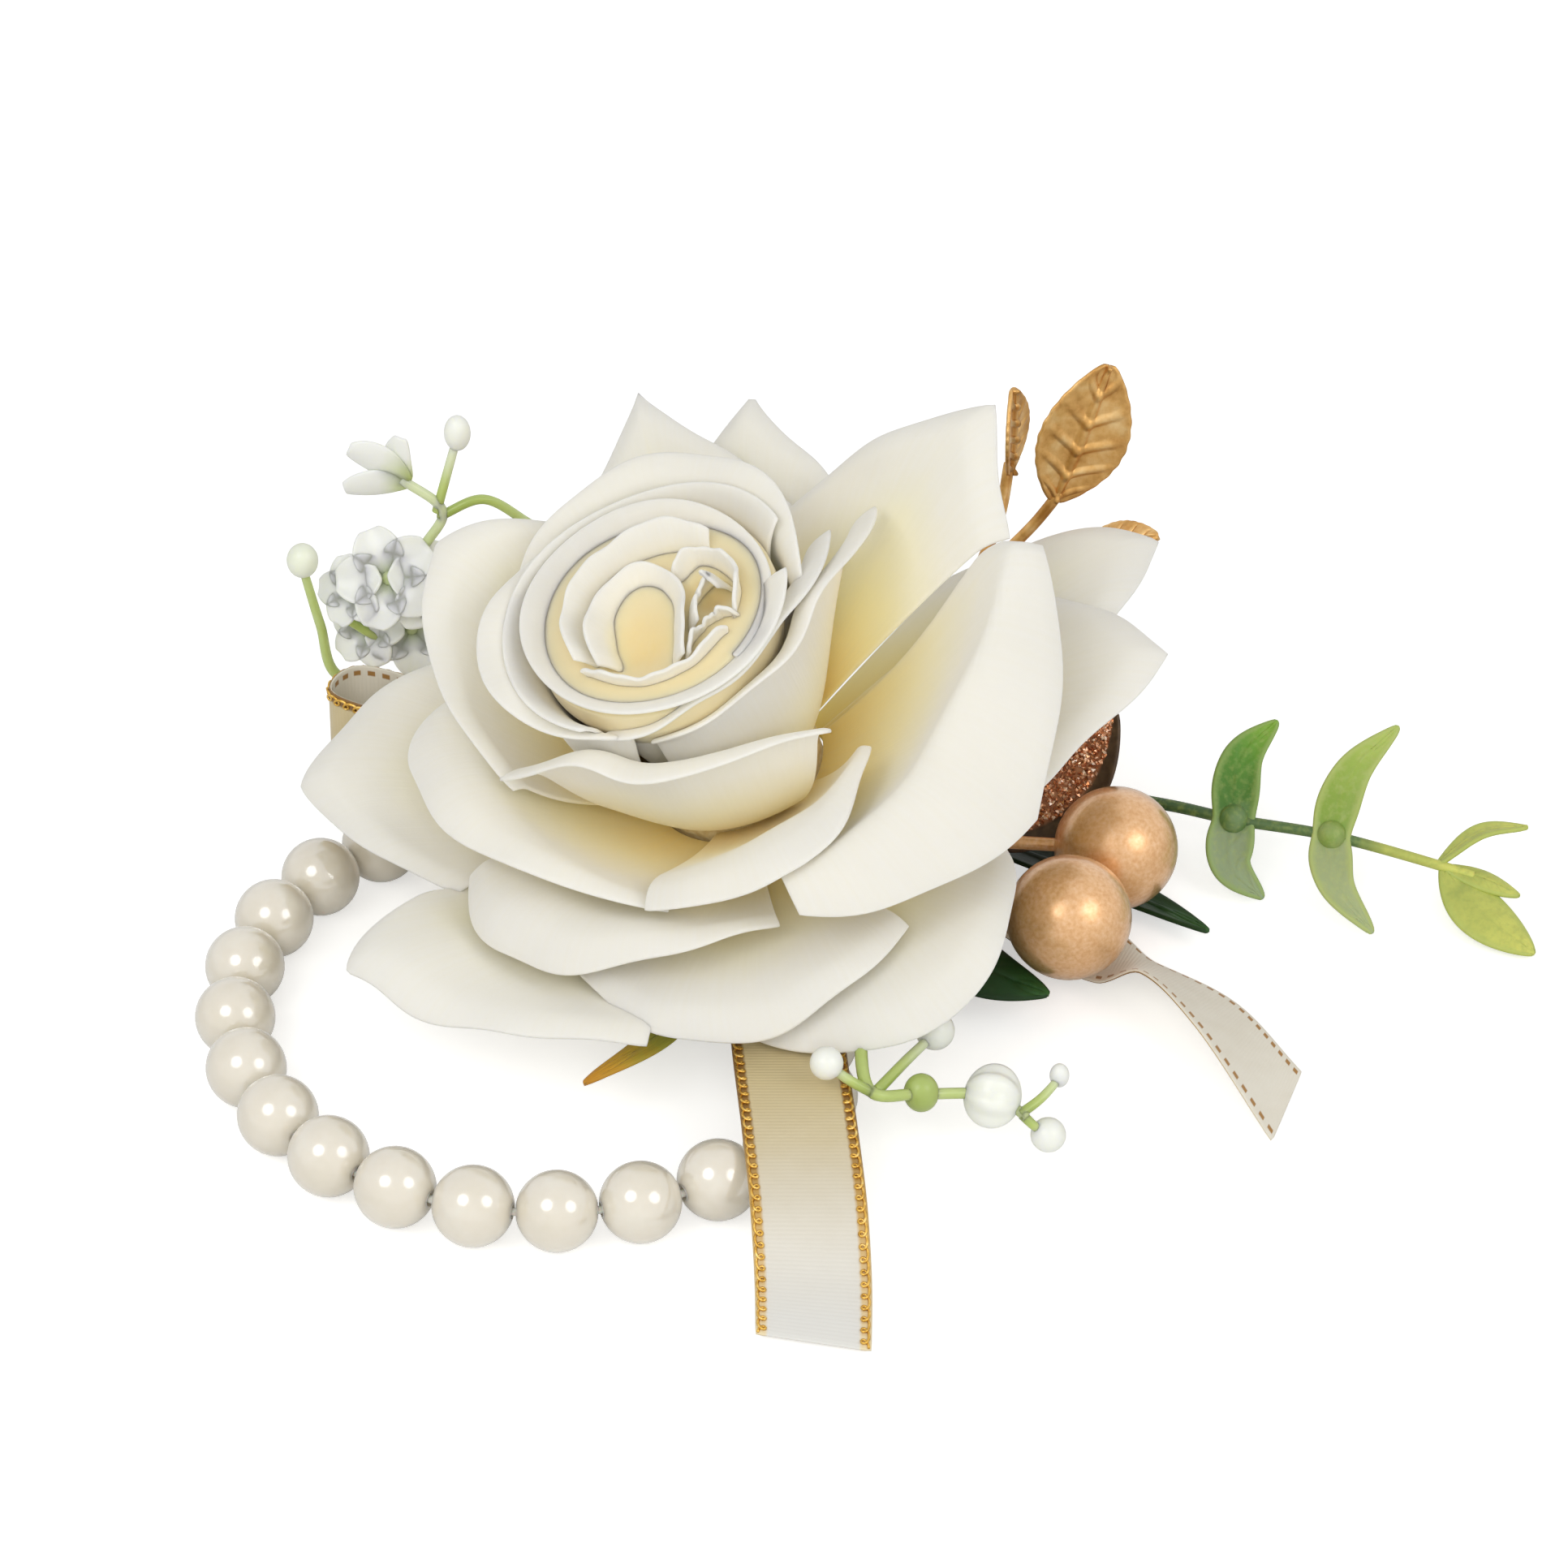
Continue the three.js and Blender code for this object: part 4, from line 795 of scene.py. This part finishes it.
frontBend = ("flower", "front_tail", np.array((1.5, -44.5, 8.45)) * mm, np.array((1.9, -48.5, 8.2)) * mm)
rightBend = ("flower", "right_tail", np.array((34.4, -14.3, 2.7)) * mm, np.array((37.6, -17.4, 3.6)) * mm)
for name, stations, faceUp, lift, bend, stands in (
        ("front", frontStations, False, -1, frontBend, ["ribbon_tail_front"]),
        ("right", rightStations, True, 0, rightBend, ["ribbon_tail_right"]),
        ("loop", loopStations, True, 1, None, ["ribbon_bow"]),
        ("link", linkStations, False, 0, None, [])):
    made, area, length = ribbonShape(stations, faceUp)
    strip = putPiece("satin_" + name, made, satin, stands=stands, bend=bend)
    edging = []
    if lift:
        threads = joinShapes(edgeThread(stations, 1, lift), edgeThread(stations, -1, lift))
        edging = [putPiece("gold_edge_" + name, threads, thread, bend=bend)]
print("ribbon: loop, link and two tails")


# Satin balls on wires

ballLook = {"radius": 6.15, "wire": 0.7, "sides": 72, "sag": 0.4,
            "balls": {"gold_ball_front": ((28, -15.2, 9.2), (9.4, -5.4, 8.0)),
                      "gold_ball_back": ((33.1, -3.5, 8.7), (10, -0.3, 8.0))}}
ballStops = [(0.3, "dca56c"), (0.5, "e6b47e"), (0.75, "eec294")]
goldSatin = mottled("goldSatin", (2200, 2.0), ballStops, 0.07, 0.05, metallic=0.6, coat=1.0,
                    coatRoughness=0.2)
goldSatin.rough(goldSatin.noise(1500), 0.31, 0.35)
for node, (centre, root) in ballLook["balls"].items():
    middle = ((root[0] + centre[0]) / 2, (root[1] + centre[1]) / 2, centre[2] - ballLook["sag"])
    wire = tube(evenCurve([root, middle, centre], 30), ballLook["wire"])
    sphere = ball(centre, ballLook["radius"], axis=np.array(centre) - np.array(root), sides=ballLook["sides"])
    putPiece("satin_" + node, joinShapes(sphere, wire), goldSatin, stands=[node])
print("satin balls:", len(ballLook["balls"]))


# Gold leaves

goldLook = {"stemRadius": 0.6, "vein": 0.42, "thickness": 0.45,
            "stems": [[(5, 8, 8), (12, 17, 14), (19, 22.8, 21.5), (25.5, 25, 28.1), (28, 25.6, 31.5)],
                      [(19, 22.8, 21.5), (22, 27.5, 27), (23, 30, 32)],
                      [(21.5, 24, 24), (27.4, 24, 25.6), (32, 22.8, 27)]],
            "leaves": [([(27.5, 25.5, 30.7), (30, 26.6, 37.5), (32.6, 28, 45)], (1, 0.15, -0.3), 4.5),
                       ([(23, 29.8, 31), (23.2, 30.6, 35.5), (23.1, 31.2, 40)], (0.35, 1, 0), 3.375),
                       ([(30.2, 23.4, 26.4), (34, 22.6, 27.6), (37.6, 22, 28.6)], (0.1, 0.8, 0.5), 2.2)]}
foil = newFinish("goldFoil", metallic=0.85)
foilStops = [(0.28, "ae7c3e"), (0.5, "d6a866"), (0.72, "e9c890")]
foil.feed("Base Color", foil.ramp(foil.noise(420, 4.0), foilStops))
foil.rough(foil.noise(1300), 0.3, 0.5)
foil.bump(foil.noise(1800, 3.0), 0.25, 0.1)
goldStems = [tube(evenCurve(stem, 40), goldLook["stemRadius"]) for stem in goldLook["stems"]]
goldLeaves = [leafShape(*leaf, goldLook["thickness"], vein=goldLook["vein"], wave=0.012, veinCount=5,
                        rows=90, columns=48) for leaf in goldLook["leaves"]]
putPiece("gold_leaves", joinShapes(*goldStems, *goldLeaves), foil, stands=["gold_leaf_pick"])
print("gold leaves:", len(goldLeaves))


# Glitter leaf

glitterLook = {"midrib": [(15.5, 2.2, 8.4), (21.5, 4.7, 8.2), (27.8, 6.6, 11), (32.6, 9.2, 16.6)],
               "across": (0.64, -0.46, -0.61), "half": 5.8, "thickness": 0.5, "bare": 0.84, "seed": 11,
               "grains": 3000, "grainSize": (0.16, 0.36), "grainLift": 0.05,
               "stem": [(10, 1.4, 8), (13.6, 1.4, 8.4), (18, 3.2, 8.3)], "stemRadius": 0.6}


# Grains: small eight-faced chips, strewn over the leaf's upper face short of its bare edge, turned at random
def glitterGrains(points):
    chance = np.random.default_rng(glitterLook["seed"])
    count = glitterLook["grains"]
    rows, columns = points.shape[:2]
    normal = unit(np.cross(np.gradient(points, axis=1), np.gradient(points, axis=0)))
    row = chance.uniform(0, rows - 1.001, count)
    column = chance.uniform(0, (columns - 1.001) * glitterLook["bare"], count)
    i, j, a, b = row.astype(int), column.astype(int), (row % 1)[:, None], (column % 1)[:, None]

    def pick(grid):
        return (grid[i, j] * (1 - a) * (1 - b) + grid[i + 1, j] * a * (1 - b)
                + grid[i, j + 1] * (1 - a) * b + grid[i + 1, j + 1] * a * b)

    seat = pick(points) + unit(pick(normal)) * (glitterLook["thickness"] / 2 + glitterLook["grainLift"])
    size = chance.uniform(*glitterLook["grainSize"], count)[:, None, None]
    first = unit(chance.normal(size=(count, 3)))
    second = unit(np.cross(first, chance.normal(size=(count, 3))))
    axes = np.stack([first, second, np.cross(first, second) * 0.5], 1)
    corners = np.concatenate([axes, -axes], 1) * size + seat[:, None]
    faces = np.array([(0, 1, 2), (1, 3, 2), (3, 4, 2), (4, 0, 2), (1, 0, 5), (3, 1, 5), (4, 3, 5), (0, 4, 5)])
    every = (faces[None] + 6 * np.arange(count)[:, None, None]).reshape(-1, 3)
    tone = np.repeat(chance.uniform(0, 1, (count, 3)), 6, axis=0)
    return corners.reshape(-1, 3), np.zeros((0, 4), int), every, tone


surface = leafSurface(glitterLook["midrib"], glitterLook["across"], glitterLook["half"], ends=0.2)
blade = skin(*surface, glitterLook["thickness"])
stem = tube(evenCurve(glitterLook["stem"], 24), glitterLook["stemRadius"])
backing = newFinish("glitterBacking", roughness=0.45, metallic=0.2)
mottle = backing.noise(900, 3.0)
dark = backing.ramp(mottle, [(0.3, "3b2817"), (0.55, "4a3824"), (0.75, "5c4730")])
copper = backing.ramp(mottle, [(0.3, "7d4c2c"), (0.55, "9a6440"), (0.75, "b57d56")])
bareEdge = backing.spread(backing.placeParts()["X"], 0.64, 0.72, 0, 1)
backing.feed("Base Color", backing.mixColour(bareEdge, copper, dark))
backing.bump(mottle, 0.3, 0.15)
chips = newFinish("copperGrain", metallic=0.9)
parts = chips.placeParts()
chipStops = [(0, "b06e44"), (0.3, "d89c74"), (0.65, "f0c09c"), (1, "ffeede")]
chips.feed("Base Color", chips.ramp(parts["X"], chipStops))
chips.feed("Roughness", chips.spread(parts["Y"], 0, 1, 0.15, 0.45))
putPiece("glitter_blade", joinShapes(blade, stem), backing, stands=["glitter_leaf"])
putPiece("glitter_grains", glitterGrains(surface[0]), chips).data.shade_flat()
print("glitter leaf:", glitterLook["grains"], "grains")


# Eucalyptus

eucalyptusLook = {
    "route": [(8.6, 5.6, 8.2), (22, 10.4, 6.4), (38.5, 6.4, 6.6), (45.3, 3.9, 6.6), (55, 2, 6),
              (66.2, -0.9, 4.3), (69, -1.7, 3.8)],
    "radius": (0.7, 0.5), "thickness": 0.5, "steps": 90, "collar": 1.5, "tipTint": (0.85, 1),
    "tips": [([(65.5, -0.7, 4.4), (70, 2.2, 6.2), (74.5, 2.7, 6.5)], (0.3, -1, 0.2), 1.1),
             ([(66, -0.8, 4.3), (70, -2, 3.6), (73.4, -3.3, 2.6)], (0.2, 1, 0.1), 1.2),
             ([(66, -0.8, 4.2), (69.5, -5.5, 2.4), (74.3, -10.4, 0.9)], (1, 0.7, 0.2), 2.6)],
    "pairs": {"eucalyptus_pair_inner":
              ([(48, -1.8, 1.2), (45, 0.6, 3.4), (45.3, 3.9, 6.7), (46.2, 7.6, 11.4), (49.6, 10.3, 14)], 2.4),
              "eucalyptus_pair_outer":
              ([(58.6, -7, 0.9), (55.2, -2.4, 3.4), (55, 2, 6.1), (57, 5.6, 11), (61.6, 8.7, 14.5)], 2.16)}}


def greenFinish(name, stops, speckScale, speckColour, edgeColour, gloss=0.45):
    finish = newFinish(name, roughness=0.42, specular=gloss, subsurface=0.08, subsurfaceScale=0.6 * mm)
    parts = finish.placeParts()
    tinted = finish.ramp(finish.drift(parts["Y"], 300, 0.1), stops)
    specks = finish.noise(speckScale, 2.0)
    tinted = finish.mixColour(finish.spread(specks, 0.45, 0.7, 0, 0.35), tinted, speckColour)
    edge = finish.combine("ABSOLUTE", parts["X"])
    finish.feed("Base Color", finish.mixColour(finish.spread(edge, 0.72, 1.0, 0, 0.7), tinted, edgeColour))
    finish.bump(finish.placeNoise((7, 40, 0)), 0.2, 0.12)
    return finish


innerStops = [(0, "93a57c"), (0.42, "86976e"), (0.55, "417019"), (0.8, "558a1e"), (1, "82ac36")]
outerStops = [(0, "a9b582"), (0.42, "9ca875"), (0.55, "7f9c38"), (0.8, "9ab14a"), (1, "b4c464")]
twigStops = [(0, "304a28"), (0.5, "3c5830"), (0.78, "58733f"), (0.88, "b4bb5c"), (1, "d2d46a")]
pairFinishes = [greenFinish("eucalyptusInner", innerStops, 1600, "9fae5e", "8fa85a"),
                greenFinish("eucalyptusOuter", outerStops, 1600, "b4bd74", "b0bd6c")]
twigFinish = greenFinish("eucalyptusStem", twigStops, 1600, "96a552", "b0bd60")
stem = tube(evenCurve(eucalyptusLook["route"], eucalyptusLook["steps"]),
            np.linspace(*eucalyptusLook["radius"], eucalyptusLook["steps"]))
stem[3][:, 0] = 0
tips = [leafShape(*tip, eucalyptusLook["thickness"], ends=0.05, vein=0.06) for tip in eucalyptusLook["tips"]]
for tip in tips:
    tip[3][:, 1] = mix(eucalyptusLook["tipTint"], tip[3][:, 1])
twig = joinShapes(stem, *tips)
putPiece("eucalyptus_twig", twig, twigFinish, stands=["eucalyptus_stem"])
for (node, (midrib, half)), pairFinish in zip(eucalyptusLook["pairs"].items(), pairFinishes):
    blades = leafShape(midrib, (1, -0.2, -0.1), half, eucalyptusLook["thickness"], ends=0.05, vein=0.08,
                       waist=0.2, rows=90)
    collar = ball(midrib[2], eucalyptusLook["collar"])
    collar[3][:] = (0, 0.5, 0)
    putPiece("leaf_" + node, joinShapes(blades, collar), pairFinish, stands=[node])

# Dark leaves

darkLook = {"leaf_right": ([(10.6, 4.2, 8.2), (13.6, 4.8, 7.8), (21, 5, 3.2), (32, 0, 1.5), (37, -3.6, 1.5),
                            (42.1, -8.5, 2.2)], (-0.4, -1, 0.1), 2.34),
            "leaf_front": ([(9, -7.2, 8.5), (11.6, -11, 7.8), (19.2, -17.8, 5.4), (25.8, -20.6, 4)],
                           (1, 0.8, 0.1), 3.6)}
# painted shade: the leaves' near-black green is partly their own colour and partly shade
darkLeafShadeStops = [(0, "10170c"), (0.5, "152613"), (0.85, "22421f"), (1, "38602f")]
darkFinish = greenFinish("darkLeaf", darkLeafShadeStops, 1200, "20331a", "1e331b", gloss=0.2)
for node, leaf in darkLook.items():
    putPiece("green_" + node, leafShape(*leaf, ends=0.06, vein=0.14), darkFinish, stands=[node])
print("greenery: eucalyptus twig, two pairs and two dark leaves")


# Flower sprays: moulded stems that pale towards their ends, with buds and small flowers

sprayLook = {"lobe": {"thickness": 0.4, "rows": 24, "columns": 12, "cup": -0.22, "ends": 0.42},
             "lobeHalf": 0.52, "lobePale": 0.35, "stemPale": (0.25, 1), "heart": 0.2, "heartTint": 0.45,
             "sink": 0.05, "middle": (0.55, 0.3), "tip": (1.1, 0.28), "askew": (0.2, 0.3, 0.9)}
# stems: route, radius at both ends, paleness of the end
leftStems = [([(-7.4, 8.4, 8), (-22, 18.2, 9.6), (-35.6, 20.4, 11.6), (-45, 19, 13.4), (-46.6, 18.8, 20),
               (-48, 18.6, 27)], (0.7, 0.45), 0.35),
             ([(-34.5, 20.3, 11.4), (-38, 20, 15), (-43.7, 19.4, 20)], (0.55, 0.45), 0.3),
             ([(-34.5, 20.3, 11.4), (-34.6, 21.4, 20), (-36.5, 21.8, 26), (-34, 22, 31.6), (-38, 22.2, 35.4)],
              (0.55, 0.5), 0.55),
             ([(-34.4, 22, 31), (-30, 23, 32.4), (-25.2, 24, 28.6)], (0.5, 0.5), 0.4),
             ([(-34.6, 22, 31.6), (-33.4, 22.6, 36), (-32.3, 23, 40)], (0.5, 0.45), 0.7)]
frontStems = [([(6.9, -9, 8), (7.2, -20, 9.8), (7.4, -33, 10.4), (8.5, -41.3, 8.8), (13.2, -39.6, 7.2),
                (20.4, -38.6, 6), (23.2, -40.4, 5)], (0.7, 0.5), 0.35),
              ([(8.5, -41.3, 8.8), (6.4, -41, 10), (4.3, -40.6, 11.6)], (0.55, 0.45), 0.5),
              ([(9, -40.8, 8.6), (12.2, -36, 8.8), (14.6, -32.8, 9)], (0.55, 0.45), 0.6),
              ([(22.6, -40.2, 5.2), (24.6, -38.6, 5.8), (26.4, -36.6, 6.6)], (0.5, 0.4), 0.5),
              ([(22.8, -40.2, 5.1), (24, -40.6, 4), (25.2, -40.5, 3)], (0.5, 0.4), 0.5)]


def sprayStem(route, radius, pale, steps=60):
    made = tube(evenCurve(route, steps), np.linspace(*radius, steps), up=(0.3, 1, 0.1))
    made[3][:, 2] = pale * mix(sprayLook["stemPale"], smoothStep(made[3][:, 1]))
    return made


# Lobe of a small flower: a thin cupped blade on a smooth midrib, broad to its end
def sprayLobe(midrib, sideways, half):
    made = leafShape(midrib, sideways, half, **sprayLook["lobe"])
    made[3][:, 2] = smoothStep(sprayLook["lobePale"] + made[3][:, 1])
    return made


# Small flower: lobes set round a middle, spread like a shallow bell
def sprayFlower(centre, facing, reach, petals, start=0.0):
    facing, centre = unit(np.array(facing, float)), np.array(centre, float)
    side = unit(np.cross(facing, sprayLook["askew"]))
    over = np.cross(facing, side)
    shapes = [ball(centre, sprayLook["heart"] * reach, sides=16, tint=sprayLook["heartTint"])]
    for turn in start + 2 * np.pi * np.arange(petals) / petals:
        out = np.cos(turn) * side + np.sin(turn) * over
        midrib = [centre - sprayLook["sink"] * reach * facing]
        for outShare, riseShare in (sprayLook["middle"], sprayLook["tip"]):
            midrib.append(centre + reach * (outShare * out + riseShare * facing))
        shapes.append(sprayLobe(midrib, np.cross(facing, out), sprayLook["lobeHalf"] * reach))
    return joinShapes(*shapes)


leftBuds = [ball((-48, 18.6, 28), 1.6, stretch=1.15, tint=0.8),
            sprayLobe([(-37.6, 22.1, 35.2), (-40.6, 21.8, 38), (-43, 22, 39)], (0.4, -0.2, 1), 1.7),
            sprayLobe([(-37.4, 22.2, 34.9), (-40.6, 22, 34.8), (-43.6, 22.2, 34.2)], (0, -0.3, 1), 1.7),
            sprayLobe([(-37.6, 22.4, 35.2), (-38.4, 22.4, 38), (-38, 22.5, 40)], (1, -0.3, 0), 1.2),
            ball((-32.3, 23, 40.4), 1.35, stretch=1.45, tint=1.0),
            sprayFlower((-39.5, 20.6, 24.4), (-0.1, -0.8, 0.6), 4.6, 5, 0.3),
            sprayFlower((-35.6, 21, 23), (0.3, -0.8, 0.5), 4.2, 5, 0.9),
            sprayFlower((-43, 20.4, 23), (-0.4, -0.7, 0.5), 3.2, 5, 0.2),
            sprayFlower((-37.6, 21.4, 17.6), (0.1, -0.8, 0.6), 4.2, 5, 0.6),
            sprayFlower((-41.6, 20.8, 18), (-0.3, -0.8, 0.5), 3.4, 5, 1.0)]
frontBuds = [ball((4.2, -40.5, 11.7), 1.6, tint=0.95), ball((14.6, -32.6, 9.2), 1.9, tint=0.95),
             ball((13.2, -39.2, 7), 1.7, stretch=1.15, tint=0.2),
             ball((20, -38.5, 5.9), 3.0, stretch=0.92, axis=(1, -0.2, -0.15), sides=48, tint=0.95, ribs=7,
                  ribDepth=0.07),
             ball((26.4, -36.4, 6.8), 0.95, stretch=1.35, tint=1.0), ball((25.3, -40.4, 2.8), 1.7, tint=1.0)]
spray = newFinish("sprayWhiteGreen", roughness=0.28, specular=0.5, subsurface=0.6, subsurfaceScale=1.2 * mm,
                  subsurfaceRadius=(1, 1, 0.7), coat=0.2, coatRoughness=0.2)
drift = spray.drift(spray.placeParts()["Z"], 500, 0.08)
sprayStops = [(0, "93a846"), (0.3, "b9c977"), (0.6, "dde6c2"), (0.9, "f4f6ec")]
spray.feed("Base Color", spray.ramp(drift, sprayStops))
spray.bump(spray.noise(900, 2.0), 0.15, 0.1)
for name, stems, buds in (("left", leftStems, leftBuds), ("front", frontStems, frontBuds)):
    made = joinShapes(*[sprayStem(*stem) for stem in stems], *buds)
    putPiece("spray_" + name, made, spray, stands=["flower_spray_" + name])
print("sprays: left and front")


# Camera, floor and light

cameraLook = {"target": (0.2, -13.2, 24), "elevation": 37.1, "distance": 600, "lens": 142.88,
              "sensor": 36, "nearest": 0.05}
tilt = math.radians(cameraLook["elevation"])
toCamera = np.array([0, -math.cos(tilt), math.sin(tilt)])
camera = bpy.data.objects.new("camera", bpy.data.cameras.new("camera"))
camera.data.lens = cameraLook["lens"]
camera.data.sensor_width = cameraLook["sensor"]
camera.data.clip_start = cameraLook["nearest"]
camera.location = (np.array(cameraLook["target"]) + cameraLook["distance"] * toCamera) * mm
camera.rotation_euler = (math.pi / 2 - tilt, 0, 0)
scene.collection.objects.link(camera)
scene.camera = camera

# lamps: turn and rise as seen from the camera, distance, size, power, whether they show in gloss
lightLook = {"fill": 0.53, "lamps": [(-28, 16, 0.7, 0.38, 0.9, True), (40, 12, 0.7, 0.38, 0.75, True),
                                     (-2, 0, 0.9, 0.5, 1.8, False)]}
cameraRight, cameraUp = np.array([1, 0, 0]), np.array([0, math.sin(tilt), math.cos(tilt)])
for number, (turn, rise, distance, size, power, shines) in enumerate(lightLook["lamps"]):
    turn, rise = math.radians(turn), math.radians(rise)
    level = math.cos(turn) * toCamera + math.sin(turn) * cameraRight
    aim = math.cos(rise) * level + math.sin(rise) * cameraUp
    lamp = bpy.data.objects.new(f"softbox{number}", bpy.data.lights.new(f"softbox{number}", "AREA"))
    lamp.data.shape = "DISK"
    lamp.data.size = size
    lamp.data.energy = power
    lamp.visible_glossy = shines
    lamp.location = np.array(cameraLook["target"]) * mm + distance * aim
    lamp.rotation_mode = "QUATERNION"
    lamp.rotation_quaternion = Vector(aim).to_track_quat("Z", "Y")
    scene.collection.objects.link(lamp)

scene.world = bpy.data.worlds.new("whiteRoom")
room = Finish(scene.world, "Background")
room.shader.inputs["Color"].default_value = (1, 1, 1, 1)
rays = room.node("LightPath").outputs
seen = room.combine("MAXIMUM", rays["Is Glossy Ray"], rays["Is Transmission Ray"])
seen = room.combine("MAXIMUM", rays["Is Camera Ray"], seen)
room.feed("Strength", room.spread(seen, 0, 1, lightLook["fill"], 1.0))

floorLook = {"size": 3000, "height": -0.06, "glow": 0.5}
half = floorLook["size"] / 2 * mm
ways = ((-1, -1), (1, -1), (1, 1), (-1, 1))
floorCorners = [(x * half, y * half, floorLook["height"] * mm) for x, y in ways]
floorMesh = bpy.data.meshes.new("floor")
floorMesh.from_pydata(floorCorners, [], [(0, 1, 2, 3)])
floor = bpy.data.objects.new("floor", floorMesh)
paint = newFinish("floorWhite", roughness=0.9, specular=0.0)
paint.feed("Base Color", paint.ramp(paint.noise(3.0), [(0.3, "f0f0ef"), (0.7, "f4f4f3")]))
paint.shader.inputs["Emission Color"].default_value = (1, 1, 1, 1)
cameraRay = paint.node("LightPath").outputs["Is Camera Ray"]
paint.feed("Emission Strength", paint.combine("MULTIPLY", cameraRay, floorLook["glow"]))
floorMesh.materials.append(paint.material)
scene.collection.objects.link(floor)
print("camera, floor and lamps set")
